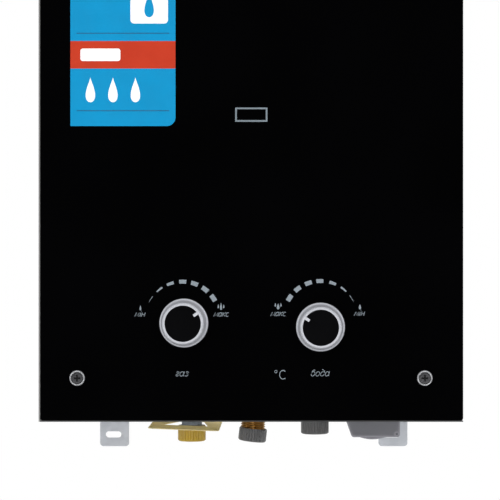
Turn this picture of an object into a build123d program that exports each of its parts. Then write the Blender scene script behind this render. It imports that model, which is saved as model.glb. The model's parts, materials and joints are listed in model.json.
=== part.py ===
from build123d import *
import os
from math import cos, pi, radians, sin, tan

os.makedirs("parts", exist_ok=True)

# Wall-hung instantaneous gas water heater, in millimetres.
# X points right, Y points into the wall, Z up. The origin lies on the wall, midway between the
# two upper hanging holes. A rise is a height above the lower edge of the front cover.

# Front cover
cover_width = 340.0
cover_height = 590.0
body_depth = 140.0
hang_rise = 608.0
cover_sheet = 0.8
cover_edge = 4.0
cover_wall_gap = 2.0
cover_lip = 12.0
louvre_count = 9
louvre_pitch = 9.0
louvre_length = 70.0
louvre_slot = 3.0
louvre_rise = 500.0
overrun = 5.0

# Glass panel and its bonding frame
glass_thick = 4.0
glass_side_gap = 1.3
glass_shift = 0.45
glass_foot = 0.7
glass_top_gap = 0.8
glass_corner = 2.5
glass_bevel = 0.3
tape_thick = 1.0
tape_width = 12.0
tape_inset = 12.0

# Knobs and spindles
gas_x = -53.7
gas_rise = 79.0
water_x = 55.6
water_rise = 75.8
knob_base_d = 39.7
knob_rim = 2.4
knob_waist_d = 36.6
knob_face_d = 33.6
knob_reach = 18.5
knob_bevel = 1.3
knob_gap = 0.6
knob_hole_d = 24.0
disc_d = 28.6
disc_thick = 1.6
disc_sink = 0.3
disc_gap = 0.05
spindle_d = 8.0
spindle_flat = 3.0
spindle_flat_length = 13.0
spindle_grip = 11.0
spindle_seat = 20.0
spindle_fit = 0.05
knob_floor = 1.0

# Flame window and display
window_x = 0.4
window_rise = 245.5
window_width = 26.4
window_height = 12.0
pane_margin = 8.0
pane_thick = 3.0
display_x = 4.0
display_rise = 37.0
display_width = 30.0
display_height = 16.0
display_margin = 7.0
display_depth = 9.0
display_gap = 0.3

# Cover screws, cup washers and posts
screw_inset = 31.0
screw_rise = 35.0
screw_d = 4.0
screw_length = 16.0
screw_fit = 0.05
head_d = 9.3
head_tall = 2.0
head_round = 0.9
cross_length = 5.4
cross_slot = 1.4
cross_depth = 1.3
washer_d = 12.4
washer_rim = 0.7
washer_floor = 0.8
washer_tall = 2.2
washer_gap = 0.1
glass_screw_hole_d = 9.0
cover_screw_hole_d = 5.0
post_d = 10.0
post_bore = 13.0

# Back plate
plate_sheet = 1.2
plate_gap = 0.5
plate_flange = 14.0
plate_foot = 4.0
ear_spacing = 242.0
ear_width = 25.2
ear_hole_d = 8.0
ear_margin = 14.0
tab_drop = 32.8
tab_corner = 3.0
slot_drop = 22.6
slot_shift = -0.9
slot_length = 13.5
slot_width = 5.4

# Heat exchanger
side_bay = 63.0
jacket_depth = 96.0
jacket_height = 202.0
jacket_foot = 238.0
jacket_back = 22.0
jacket_sheet = 0.8
jacket_corner = 14.0
fin_pitch = 7.0
fin_thick = 0.5
fin_height = 52.0
fin_gap = 0.3
fin_rise = 405.0
row_count = 5
row_pitch = 19.0
tube_d = 13.0
tube_wall = 0.8
tube_fit = 0.15
bend_stand = 5.0
tail_run = 10.0
bracket_x = 70.0
bracket_width = 20.0
bracket_height = 20.0
bracket_gap = 20.0
bracket_sheet = 1.5

# Water coil round the combustion chamber
coil_d = 12.0
coil_gap = 0.2
coil_turns = 3
coil_pitch = 22.0
coil_foot = 20.0
coil_lead = 33.0
riser_stand = 28.0
riser_bend = 10.0
riser_drop = 25.0

# Hot and cold pipes
pipe_bend = 13.0
hot_stand = 35.0
hot_turn_rise = 140.0
hot_cross_rise = 62.0
hot_wall_gap = 16.0
hot_elbow = 16.0
cold_y = -60.0
cold_up = 38.0
cold_lead = 40.0

# Draught hood and flue
hood_depth = 116.0
hood_height = 130.0
hood_shoulder = 60.0
hood_top_width = 124.0
hood_sheet = 0.8
relief_width = 120.0
relief_height = 40.0
relief_rise = 14.0
flue_d = 110.0
flue_sheet = 0.8
flue_stand = 35.0
flue_flange = 2.5
flue_flange_thick = 1.2
flue_hole_gap = 4.0
flue_bead = 2.5
flue_bead_gap = 1.5
thermostat_d = 16.0
thermostat_thick = 10.0
thermostat_blade = 6.0
thermostat_blade_thick = 0.6
spill_rise = 470.0
overheat_rise = 365.0

# Burner
frame_sheet = 1.2
frame_side = 6.0
frame_front = 12.0
frame_rear = 4.0
frame_height = 42.0
bar_pitch = 16.0
bar_width = 11.0
bar_neck = 6.0
bar_proud = 2.0
bar_foot_gap = 2.0
bar_mix_height = 14.0
bar_port_height = 10.0
bar_mouth_d = 8.0
bar_mouth_depth = 15.0
manifold_size = 14.0
manifold_margin = 6.0
injector_d = 9.0
injector_stand = 4.0
injector_nose_d = 4.8
injector_nose = 5.0
injector_gap = 0.3
electrode_x = 26.0
electrode_rise = 246.0
insulator_d = 6.0
insulator_collar_d = 9.6
insulator_collar = 2.0
insulator_out = 10.0
insulator_in = 12.0
insulator_fit = 0.1
rod_d = 2.4
rod_out = 3.0
rod_in = 28.0
rod_fit = 0.05

# Gas valve
valve_back = 30.0
valve_depth = 82.0
valve_edge = 3.0
gas_valve_width = 58.0
gas_valve_foot = 48.0
gas_valve_height = 64.0
boss_d = 22.0
boss_reach = 10.0
solenoid_d = 28.0
solenoid_height = 40.0
solenoid_cap_d = 18.0
solenoid_cap = 4.0
solenoid_back = 50.0
riser_d = 14.0
riser_inset = 60.0
riser_step = 30.0
riser_curve = 12.0

# Water valve
water_valve_width = 38.0
water_valve_foot = 40.0
water_valve_height = 72.0
diaphragm_d = 60.0
diaphragm_thick = 2.0
valve_cover_thick = 14.0
chamber_d = 38.0
chamber_depth = 8.0
valve_screw_circle = 50.0
valve_screw_count = 6
valve_screw_d = 4.0
valve_screw_head_d = 7.0
valve_screw_head = 3.0
valve_screw_bite = 8.0
valve_screw_fit = 0.1
drain_x = 64.0
drain_y = -95.0
drain_d = 12.0
drain_height = 10.0
drain_head_d = 16.0
drain_head = 5.0

# Push rod and microswitch
rod_y = -70.0
push_rod_d = 5.0
push_rod_fit = 0.05
push_rod_seat = 14.0
push_rod_travel = 4.0
push_head_d = 32.0
push_head = 2.0
push_head_gap = 0.3
collar_x = 4.0
collar_d = 10.0
collar_length = 3.0
lever_gap = 0.3
lever_thick = 0.8
lever_width = 10.0
lever_arm = 22.0
lever_clear = 1.0
pivot_d = 1.6
pivot_fit = 0.05
knuckle_d = 3.2
switch_width = 18.0
switch_depth = 13.0
switch_height = 14.0
switch_stand = 14.0
switch_right = 0.0
switch_ear = 1.5
switch_ear_gap = 0.3
switch_ear_reach = 7.0
switch_ear_height = 6.0
switch_foot_width = 10.0
switch_foot_height = 8.0

# Carriers of the valves and the water connections
carrier_margin = 15.4
carrier_foot = 75.0
carrier_height = 30.0
carrier_sheet = 2.0
shelf_left = -75.0
shelf_right = 72.0
shelf_rise = 2.0
shelf_sheet = 2.0
shelf_depth = 62.0
shelf_flange = 20.0
shelf_fit = 0.3

# Connections underneath
pipe_y = -40.0
gas_inlet_x = -52.0
hot_x = 0.0
cold_x = 52.5
thread_d = 20.955
bore_d = 14.0
gas_neck_d = 17.2
gas_thread_top = -11.0
gas_thread_end = -22.4
gas_flange_d = 34.0
hot_thread_end = -18.0
cold_thread_end = -16.4
fitting_flange_d = 28.0
fitting_flange = 6.0
hot_top = 14.0

# Transport caps and card tag
cap_d = 23.6
cap_height = 11.1
gas_cap_height = 13.3
cap_floor = 1.6
cap_round = 1.0
cap_fit = 0.4
cap_rib_count = 32
cap_rib = 0.45
cap_crest_share = 0.62
cap_rim = 0.8
gas_cap_foot = -24.4
hot_cap_foot = -24.6
cold_cap_foot = -18.3
hot_cap_fit = 0.5
hot_cap_tilt = 6.5
tag_width = 58.6
tag_depth = 92.0
tag_thick = 0.6
tag_shift = -4.5
tag_back = 4.0
tag_corner = 5.0
tag_tilt = 2.2
tag_hole_front = 19.0
tag_hole_back = 27.0
tag_hole_front_left = 24.0
tag_hole_front_right = 14.5
tag_hole_back_left = 10.3
tag_hole_back_right = 9.4

# Igniter and its lead
igniter_depth = 60.0
igniter_height = 90.0
igniter_rise = 230.0
igniter_side = 4.0
igniter_coil_gap = 4.0
igniter_edge = 3.0
lead_d = 3.5
lead_inset = 5.0
lead_y = -40.0
lead_low = 46.0
lead_gap = 0.3
lead_bend = 18.0

# Battery box
box_left = 76.6
box_right = 121.5
box_front = -100.0
box_back = -24.0
box_top = 56.0
box_foot = -16.0
box_slant = 5.4
box_slant_top = 0.0
box_corner = 2.4
box_wall = 2.0
box_rib = 3.0
box_rib_foot = 20.0
box_rib_height = 28.0
lid_thick = 2.4
lid_gap = 0.3
lid_round = 1.8
lid_tongue = 2.0
lid_tongue_left = 88.0
lid_tongue_right = 110.0
lid_tongue_depth = 8.0
hinge_d = 2.4
hinge_fit = 0.05
hinge_knuckle_d = 5.2
hinge_clear = 0.4
cell_d = 34.2
cell_length = 61.5
cell_cap_d = 9.5
cell_cap = 1.5
cell_gap = 0.8
contact_thick = 0.6
contact_margin = 6.0
contact_tip_d = 5.0

# Places worked out from the sizes
glass_face = -body_depth
screw_x = cover_width / 2 - screw_inset
glass_back = glass_face + glass_thick
cover_face = glass_back + tape_thick
cover_inside = cover_face + cover_sheet
cover_top_inside = cover_height - cover_sheet
plate_half = cover_width / 2 - cover_sheet - plate_gap
jacket_width = cover_width - 2 * side_bay
core_y = -(jacket_back + jacket_depth / 2)
jacket_face = core_y - jacket_depth / 2
jacket_rear = core_y + jacket_depth / 2
jacket_top = jacket_foot + jacket_height
glass_width = cover_width - glass_side_gap
coil_x = jacket_width / 2 + coil_gap + coil_d / 2
coil_front = jacket_face - coil_gap - coil_d / 2
coil_back = jacket_rear + coil_gap + coil_d / 2
coil_bend = jacket_corner + coil_gap + coil_d / 2
riser_x = jacket_width / 2 + riser_stand
row_places = [core_y + row_pitch * ((row_count - 1) / 2 - row) for row in range(row_count)]
bend_x = jacket_width / 2 + bend_stand
tail_x = bend_x + tail_run
coil_start = jacket_foot + coil_foot
bracket_rise = coil_start + coil_turns * coil_pitch + coil_d / 2 + bracket_gap
hood_top = jacket_top + hood_height
frame_foot = jacket_foot - frame_height
frame_face = jacket_face + frame_front
frame_back = jacket_rear - frame_rear
bar_foot = frame_foot + bar_foot_gap
bar_top = jacket_foot + bar_proud
injector_rise = bar_foot + bar_mix_height / 2
manifold_back = frame_face - injector_stand
manifold_y = manifold_back - manifold_size / 2
valve_face = -(valve_back + valve_depth)
riser_back = valve_back + riser_inset
gas_valve_right = gas_x + gas_valve_width / 2
water_valve_left = water_x - water_valve_width / 2
carrier_half = water_x + water_valve_width / 2 + carrier_margin
valve_cover_right = water_valve_left - diaphragm_thick
valve_cover_left = valve_cover_right - valve_cover_thick
lever_right = collar_x - lever_gap
lever_mid = lever_right - lever_thick / 2
pivot_rise = water_rise + lever_arm
lid_top = box_foot + lid_thick
hinge_x = box_right - hinge_knuckle_d / 2
hinge_rise = box_foot + hinge_knuckle_d / 2
cell_x = (box_left + box_slant + box_right) / 2
cell_foot = hinge_rise + hinge_knuckle_d / 2 + hinge_clear
cell_places = [(box_front + box_back) / 2 + side * (cell_d + cell_gap) / 2 for side in (-1, 1)]


def level(rise):
    """Height in the frame of a place at this rise above the cover's lower edge."""
    return rise - hang_rise


def front_plane(x, y, rise):
    """Sketch plane that looks out of the front: local x is right and local y is up."""
    return Plane(origin=(x, y, level(rise)), x_dir=(1, 0, 0), z_dir=(0, -1, 0))


def turning_plane(x, y, rise):
    """Sketch plane of a profile turned about a front axis: local x is radius, local y is reach."""
    return Plane(origin=(x, y, level(rise)), x_dir=(1, 0, 0), z_dir=(0, 0, -1))


def save(builder, name):
    """Label a finished piece and write it to its own file."""
    builder.part.label = name
    export_step(builder.part, f"parts/{name}.step")


def turned(plane, points):
    """Piece turned about its plane's own y axis, from a closed outline of radius and height."""
    with BuildPart() as piece:
        with BuildSketch(plane):
            with BuildLine():
                Polyline(*points, close=True)
            make_face()
        revolve(axis=Axis(plane.origin, plane.y_dir))
    return piece


def bent_tube(points, bend, outer_d, wall):
    """Pipe along straight runs joined by arcs. A wall of zero gives a solid lead."""
    with BuildPart() as pipe:
        with BuildLine() as route:
            FilletPolyline(*points, radius=bend)
        with BuildSketch(Plane(origin=route.line @ 0, z_dir=route.line % 0)):
            Circle(outer_d / 2)
            if wall:
                Circle(outer_d / 2 - wall, mode=Mode.SUBTRACT)
        sweep()
    return pipe


def knob(x, rise):
    """Knob turned about its spindle, with a sunk face for the disc and a D-shaped bore."""
    base = knob_base_d / 2
    waist = knob_waist_d / 2
    face = knob_face_d / 2
    seat = disc_d / 2 + disc_gap
    floor = knob_reach - disc_sink - disc_thick
    outline = [
        (0, knob_gap),
        (base, knob_gap),
        (base, knob_gap + knob_rim),
        (waist, knob_gap + 2 * knob_rim),
        (face, knob_reach - knob_bevel),
        (face - knob_bevel, knob_reach),
        (seat, knob_reach),
        (seat, floor),
        (0, floor),
    ]
    with BuildPart() as piece:
        with BuildSketch(turning_plane(x, glass_face, rise)):
            with BuildLine():
                Polyline(*outline, close=True)
            make_face()
        revolve(axis=Axis((x, glass_face, level(rise)), (0, -1, 0)))
        with BuildSketch(front_plane(x, glass_face - knob_gap, rise)):
            Circle(spindle_d / 2 + spindle_fit)
            with Locations((0, spindle_flat + spindle_fit)):
                Rectangle(
                    spindle_d, spindle_d, align=(Align.CENTER, Align.MIN), mode=Mode.SUBTRACT
                )
        extrude(amount=floor - knob_floor - knob_gap, mode=Mode.SUBTRACT)
    return piece


def knob_disc(x, rise):
    """Dark disc that lies in the knob's face."""
    with BuildPart() as piece:
        with BuildSketch(front_plane(x, glass_face - knob_reach + disc_sink + disc_thick, rise)):
            Circle(disc_d / 2)
        extrude(amount=disc_thick)
    return piece


def spindle(x, rise):
    """Valve spindle, round in the valve's boss and flattened where the knob grips it."""
    tip = glass_face - knob_gap - spindle_grip
    with BuildPart() as piece:
        with BuildSketch(front_plane(x, valve_face + spindle_seat, rise)):
            Circle(spindle_d / 2)
        extrude(amount=valve_face + spindle_seat - tip)
        with BuildSketch(front_plane(x, tip + spindle_flat_length, rise)):
            with Locations((0, spindle_flat)):
                Rectangle(spindle_d, spindle_d, align=(Align.CENTER, Align.MIN))
        extrude(amount=spindle_flat_length + overrun, mode=Mode.SUBTRACT)
    return piece


def valve_block(x, rise, width, foot, height, bore_x, bore_places, bore_d, bore_depth):
    """Cast valve block with a front boss that guides the spindle, and bores in one side."""
    with BuildPart() as piece:
        with Locations((x, -valve_back, level(foot))):
            Box(width, valve_depth, height, align=(Align.CENTER, Align.MAX, Align.MIN))
        fillet(piece.edges().filter_by(Axis.Y), valve_edge)
        with BuildSketch(front_plane(x, valve_face, rise)):
            Circle(boss_d / 2)
        extrude(amount=boss_reach)
        with BuildSketch(front_plane(x, valve_face - boss_reach, rise)):
            Circle(spindle_d / 2 + spindle_fit)
        extrude(amount=-(boss_reach + spindle_seat + overrun), mode=Mode.SUBTRACT)
        with BuildSketch(Plane.YZ.offset(bore_x)):
            with Locations((rod_y, level(water_rise))):
                with Locations(bore_places):
                    Circle(bore_d / 2)
        extrude(amount=bore_depth, mode=Mode.SUBTRACT)
    return piece


def fitting(x, outline):
    """Pipe fitting turned about an upright axis, from radius and rise, with its bore."""
    low = min(rise for radius, rise in outline)
    high = max(rise for radius, rise in outline)
    ring = [(bore_d / 2, low)] + outline + [(bore_d / 2, high)]
    return turned(front_plane(x, pipe_y, 0), ring)


def ribbed_cap(plane, fit, height):
    """Push-on transport cap: a cup with fine upright ribs round its side."""
    skirt = cap_d / 2 - cap_rib
    pitch = 2 * pi / cap_rib_count
    corners = [(0, cap_d / 2), (cap_crest_share, cap_d / 2), ((1 + cap_crest_share) / 2, skirt)]
    ribs = [
        (r * cos(pitch * (rib + share)), r * sin(pitch * (rib + share)))
        for rib in range(cap_rib_count) for share, r in corners
    ]
    with BuildPart() as piece:
        with BuildSketch(plane):
            Circle(skirt)
        extrude(amount=height)
        fillet(piece.edges().sort_by(Axis.Z)[0], cap_round)
        with BuildSketch(plane.offset(cap_round)):
            with BuildLine():
                Polyline(*ribs, close=True)
            make_face()
        extrude(amount=height - cap_rim - cap_round)
        with BuildSketch(plane.offset(cap_floor)):
            Circle(thread_d / 2 + fit)
        extrude(amount=height, mode=Mode.SUBTRACT)
    return piece


# Back plate with its flanges, hanging ears and lower wall tabs
ear_places = [(-ear_spacing / 2, hang_rise), (ear_spacing / 2, hang_rise)]
tab_places = [-ear_spacing / 2, ear_spacing / 2]
slot_places = [(x + slot_shift, -slot_drop) for x in tab_places]
ear_low = cover_top_inside - ear_width
tab_high = plate_foot + ear_width
with BuildPart() as back_plate:
    with BuildSketch(front_plane(0, 0, 0)):
        with Locations((0, plate_foot)):
            Rectangle(
                2 * plate_half, cover_top_inside - plate_foot, align=(Align.CENTER, Align.MIN)
            )
        with Locations([(x, (ear_low + rise + ear_margin) / 2) for x, rise in ear_places]):
            RectangleRounded(ear_width, hang_rise + ear_margin - ear_low, tab_corner)
        with Locations([(x, (tab_high - tab_drop) / 2) for x in tab_places]):
            RectangleRounded(ear_width, tab_high + tab_drop, tab_corner)
        with Locations(ear_places):
            Circle(ear_hole_d / 2, mode=Mode.SUBTRACT)
        with Locations(slot_places):
            SlotOverall(slot_length, slot_width, mode=Mode.SUBTRACT)
    extrude(amount=plate_sheet)
    for side, hug in ((-1, Align.MIN), (1, Align.MAX)):
        with Locations((side * plate_half, 0, level(plate_foot))):
            Box(
                plate_sheet, plate_flange, cover_top_inside - plate_foot,
                align=(hug, Align.MAX, Align.MIN),
            )
    with Locations((0, 0, level(cover_top_inside))):
        Box(2 * plate_half, plate_flange, plate_sheet, align=(Align.CENTER, Align.MAX, Align.MAX))
save(back_plate, "back_plate")

# Posts that carry the lower end of the cover
with BuildPart() as cover_posts:
    with BuildSketch(front_plane(0, -plate_sheet, screw_rise)):
        with Locations((-screw_x, 0), (screw_x, 0)):
            Circle(post_d / 2)
    extrude(amount=-plate_sheet - cover_inside)
    with BuildSketch(front_plane(0, cover_inside, screw_rise)):
        with Locations((-screw_x, 0), (screw_x, 0)):
            Circle(screw_d / 2 + screw_fit)
    extrude(amount=-post_bore, mode=Mode.SUBTRACT)
save(cover_posts, "cover_posts")

# Front cover: a drawn sheet shell, open at the back, with a lip round its lower opening
knob_places = [(gas_x, gas_rise), (water_x, water_rise)]
screw_places = [(-screw_x, screw_rise), (screw_x, screw_rise)]
cover_depth = -cover_wall_gap - cover_face
with BuildPart() as front_cover:
    with Locations((0, -cover_wall_gap, level(0))):
        Box(cover_width, cover_depth, cover_height, align=(Align.CENTER, Align.MAX, Align.MIN))
    fillet(front_cover.faces().sort_by(Axis.Y)[0].edges(), cover_edge)
    offset(amount=-cover_sheet, openings=front_cover.faces().sort_by(Axis.Y)[-1])
    with BuildSketch(Plane.XY.offset(level(0))):
        with Locations((0, cover_face + cover_lip)):
            Rectangle(
                cover_width - 2 * cover_lip, cover_depth, align=(Align.CENTER, Align.MIN)
            )
    extrude(amount=cover_sheet + overrun, both=True, mode=Mode.SUBTRACT)
    with BuildSketch(front_plane(0, cover_face, 0)):
        with Locations(knob_places):
            Circle(knob_hole_d / 2)
        with Locations((window_x, window_rise)):
            Rectangle(window_width, window_height)
        with Locations((display_x, display_rise)):
            Rectangle(display_width, display_height)
        with Locations(screw_places):
            Circle(cover_screw_hole_d / 2)
    extrude(amount=overrun, both=True, mode=Mode.SUBTRACT)
    with BuildSketch(Plane.XY.offset(level(cover_height))):
        with Locations((0, core_y)):
            Circle(flue_d / 2 + flue_hole_gap)
    extrude(amount=overrun, both=True, mode=Mode.SUBTRACT)
    with BuildSketch(Plane.YZ):
        with Locations((core_y, level(louvre_rise))):
            with GridLocations(louvre_length, louvre_pitch, 1, louvre_count):
                SlotOverall(louvre_length, louvre_slot)
    extrude(amount=cover_width / 2 + overrun, both=True, mode=Mode.SUBTRACT)
save(front_cover, "front_cover")

# Glass panel with a ground bevel, and the foam tape frame that bonds it to the cover
glass_height = cover_height - glass_foot - glass_top_gap
with BuildPart() as glass_panel:
    with BuildSketch(front_plane(0, glass_back, 0)):
        with Locations((glass_shift, glass_foot + glass_height / 2)):
            RectangleRounded(glass_width, glass_height, glass_corner)
        with Locations(knob_places):
            Circle(knob_hole_d / 2, mode=Mode.SUBTRACT)
        with Locations(screw_places):
            Circle(glass_screw_hole_d / 2, mode=Mode.SUBTRACT)
    extrude(amount=glass_thick)
    chamfer(glass_panel.faces().sort_by(Axis.Y)[0].outer_wire().edges(), glass_bevel)
save(glass_panel, "glass_panel")

tape_outer_width = cover_width - 2 * tape_inset
tape_outer_height = cover_height - 2 * tape_inset
with BuildPart() as glass_tape:
    with BuildSketch(front_plane(0, cover_face, cover_height / 2)):
        Rectangle(tape_outer_width, tape_outer_height)
        Rectangle(
            tape_outer_width - 2 * tape_width, tape_outer_height - 2 * tape_width,
            mode=Mode.SUBTRACT,
        )
    extrude(amount=tape_thick)
save(glass_tape, "glass_tape")

# Heat-proof pane behind the flame window, and the display behind the glass
with BuildPart() as sight_glass:
    with BuildSketch(front_plane(window_x, cover_inside, window_rise)):
        Rectangle(window_width + 2 * pane_margin, window_height + pane_margin)
    extrude(amount=-pane_thick)
save(sight_glass, "sight_glass")

with BuildPart() as display_module:
    with BuildSketch(front_plane(display_x, cover_inside, display_rise)):
        Rectangle(display_width + 2 * display_margin, display_height + display_margin)
    extrude(amount=-display_depth)
    with BuildSketch(front_plane(display_x, cover_inside, display_rise)):
        Rectangle(display_width - 2 * display_gap, display_height - 2 * display_gap)
    extrude(amount=cover_inside - glass_back)
save(display_module, "display_module")

# Cross-head cover screws in their cup washers
with BuildPart() as cup_washers:
    for x, rise in screw_places:
        cup = head_d / 2 + washer_gap
        with BuildSketch(turning_plane(x, glass_face, rise)):
            with BuildLine():
                Polyline(
                    (screw_d / 2 + washer_gap, 0),
                    (washer_d / 2, 0),
                    (washer_d / 2, washer_rim),
                    ((washer_d / 2 + cup) / 2, washer_tall),
                    (cup, washer_tall),
                    (cup, washer_floor),
                    (screw_d / 2 + washer_gap, washer_floor),
                    close=True,
                )
            make_face()
        revolve(axis=Axis((x, glass_face, level(rise)), (0, -1, 0)))
save(cup_washers, "cup_washers")

with BuildPart() as cover_screws:
    with BuildSketch(front_plane(0, glass_face - washer_floor, 0)):
        with Locations(screw_places):
            Circle(head_d / 2)
    extrude(amount=head_tall)
    fillet(cover_screws.edges().group_by(Axis.Y)[0], head_round)
    with BuildSketch(front_plane(0, glass_face - washer_floor, 0)):
        with Locations(screw_places):
            Circle(screw_d / 2)
    extrude(amount=-screw_length)
    with BuildSketch(front_plane(0, glass_face - washer_floor - head_tall, 0)):
        with Locations(screw_places):
            Rectangle(cross_length, cross_slot)
            Rectangle(cross_slot, cross_length)
    extrude(amount=-cross_depth, mode=Mode.SUBTRACT)
save(cover_screws, "cover_screws")

# Copper jacket: combustion chamber below, finned pipe rows above
with BuildPart() as exchanger_jacket:
    with BuildSketch(Plane.XY.offset(level(jacket_foot))):
        with Locations((0, core_y)):
            RectangleRounded(jacket_width, jacket_depth, jacket_corner)
            RectangleRounded(
                jacket_width - 2 * jacket_sheet, jacket_depth - 2 * jacket_sheet,
                jacket_corner - jacket_sheet, mode=Mode.SUBTRACT,
            )
    extrude(amount=jacket_height)
    with BuildSketch(Plane.YZ):
        with Locations([(y, level(fin_rise)) for y in row_places]):
            Circle(tube_d / 2 + tube_fit)
    extrude(amount=jacket_width / 2 + overrun, both=True, mode=Mode.SUBTRACT)
    with BuildSketch(front_plane(0, jacket_face, 0)):
        with Locations((window_x, window_rise)):
            Rectangle(window_width, insulator_d)
        with Locations((-electrode_x, electrode_rise), (electrode_x, electrode_rise)):
            Circle(insulator_d / 2 + insulator_fit)
    extrude(amount=overrun, both=True, mode=Mode.SUBTRACT)
save(exchanger_jacket, "exchanger_jacket")

fin_half_count = int((jacket_width / 2 - jacket_corner) / fin_pitch)
with BuildPart() as exchanger_fins:
    for mark in range(-fin_half_count, fin_half_count + 1):
        with BuildSketch(Plane.YZ.offset(mark * fin_pitch - fin_thick / 2)):
            with Locations((core_y, level(fin_rise))):
                Rectangle(jacket_depth - 2 * (jacket_sheet + fin_gap), fin_height)
            with Locations([(y, level(fin_rise)) for y in row_places]):
                Circle(tube_d / 2 + tube_fit, mode=Mode.SUBTRACT)
    extrude(amount=fin_thick)
save(exchanger_fins, "exchanger_fins")

# One pipe passes through the fins row by row, from the back right to the front left
with BuildPart() as fin_tube:
    with BuildLine(Plane.XY.offset(level(fin_rise))) as rows:
        for row, y in enumerate(row_places):
            heading = 1 if row % 2 else -1
            enter = tail_x if row == 0 else -heading * bend_x
            leave = -tail_x if row == row_count - 1 else heading * bend_x
            Line((enter, y), (leave, y))
            if row < row_count - 1:
                crown = leave + heading * row_pitch / 2
                ThreePointArc((leave, y), (crown, y - row_pitch / 2), (leave, y - row_pitch))
    with BuildSketch(Plane(origin=rows.line @ 0, z_dir=rows.line % 0)):
        Circle(tube_d / 2)
        Circle(tube_d / 2 - tube_wall, mode=Mode.SUBTRACT)
    sweep()
save(fin_tube, "fin_tube")

# Water coil: level turns round the jacket that climb along the back, then a riser to the fins
coil_route = [
    (riser_x, coil_front, level(coil_start - coil_lead)),
    (riser_x, coil_front, level(coil_start)),
]
for turn in range(coil_turns):
    here = level(coil_start + turn * coil_pitch)
    above = here + coil_pitch
    coil_route.append((-coil_x, coil_front, here))
    coil_route.append((-coil_x, coil_back, here))
    if turn < coil_turns - 1:
        coil_route.append((coil_x, coil_back, above))
        coil_route.append((coil_x, coil_front, above))
coil_end = level(coil_start + coil_turns * coil_pitch)
coil_route.append((riser_x, coil_back, coil_end))
coil_route.append((riser_x, coil_back, level(fin_rise - riser_drop)))
coil_route.append((riser_x, row_places[0], level(fin_rise)))
coil_route.append((tail_x, row_places[0], level(fin_rise)))
coil_bends = [riser_bend] + [coil_bend] * (len(coil_route) - 5) + [riser_bend] * 2
water_coil = bent_tube(coil_route, coil_bends, coil_d, tube_wall)
save(water_coil, "water_coil")

# Hot pipe down the left side to the outlet, cold pipe from the water valve to the coil
hot_side = -(jacket_width / 2 + hot_stand)
hot_route = [
    (-tail_x, row_places[-1], level(fin_rise)),
    (hot_side, row_places[-1], level(fin_rise)),
    (hot_side, row_places[-1], level(hot_turn_rise)),
    (hot_side, -hot_wall_gap, level(hot_turn_rise)),
    (hot_side, -hot_wall_gap, level(hot_cross_rise)),
    (hot_x, -hot_wall_gap, level(hot_cross_rise)),
    (hot_x, pipe_y, level(hot_top + hot_elbow)),
    (hot_x, pipe_y, level(hot_top)),
]
hot_pipe = bent_tube(hot_route, pipe_bend, tube_d, tube_wall)
save(hot_pipe, "hot_pipe")

water_valve_top = water_valve_foot + water_valve_height
cold_meet = coil_start - coil_lead
cold_route = [
    (water_x, cold_y, level(water_valve_top)),
    (water_x, cold_y, level(water_valve_top + cold_up)),
    (riser_x, coil_front, level(cold_meet - cold_lead)),
    (riser_x, coil_front, level(cold_meet)),
]
cold_feed_pipe = bent_tube(cold_route, pipe_bend, coil_d, tube_wall)
save(cold_feed_pipe, "cold_feed_pipe")

# Brackets that carry the heat exchanger on the back plate
with BuildPart() as exchanger_brackets:
    for side in (-1, 1):
        with Locations((side * bracket_x, -plate_sheet, level(bracket_rise))):
            Box(
                bracket_width, jacket_back - plate_sheet, bracket_height,
                align=(Align.CENTER, Align.MAX, Align.MIN),
            )
        with Locations((side * bracket_x, -plate_sheet - bracket_sheet, level(bracket_rise))):
            Box(
                bracket_width, jacket_back - plate_sheet - 2 * bracket_sheet,
                bracket_height - bracket_sheet,
                align=(Align.CENTER, Align.MAX, Align.MIN), mode=Mode.SUBTRACT,
            )
save(exchanger_brackets, "exchanger_brackets")


def hood_outline(inset):
    """Draught hood seen from the front: upright sides, then shoulders that draw in to the top."""
    half = jacket_width / 2 - inset
    top_half = hood_top_width / 2 - inset
    return [
        (-half, jacket_top + inset),
        (half, jacket_top + inset),
        (half, jacket_top + hood_shoulder),
        (top_half, hood_top - inset),
        (-top_half, hood_top - inset),
        (-half, jacket_top + hood_shoulder),
    ]


# Draught hood on the jacket, with its floor opening and the relief opening at the back
with BuildPart() as draft_hood:
    with BuildSketch(front_plane(0, core_y, 0)):
        with BuildLine():
            Polyline(*hood_outline(0), close=True)
        make_face()
    extrude(amount=hood_depth / 2, both=True)
    with BuildSketch(front_plane(0, core_y, 0)):
        with BuildLine():
            Polyline(*hood_outline(hood_sheet), close=True)
        make_face()
    extrude(amount=hood_depth / 2 - hood_sheet, both=True, mode=Mode.SUBTRACT)
    with BuildSketch(Plane.XY.offset(level(jacket_top))):
        with Locations((0, core_y)):
            RectangleRounded(
                jacket_width - 2 * jacket_corner, jacket_depth - 2 * jacket_sheet,
                jacket_corner - jacket_sheet,
            )
    extrude(amount=overrun, both=True, mode=Mode.SUBTRACT)
    with BuildSketch(Plane.XY.offset(level(hood_top))):
        with Locations((0, core_y)):
            Circle(flue_d / 2 - flue_sheet)
    extrude(amount=overrun, both=True, mode=Mode.SUBTRACT)
    with BuildSketch(front_plane(0, core_y + hood_depth / 2, jacket_top + relief_rise)):
        Rectangle(relief_width, relief_height, align=(Align.CENTER, Align.MIN))
    extrude(amount=overrun, both=True, mode=Mode.SUBTRACT)
save(draft_hood, "draft_hood")

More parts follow.
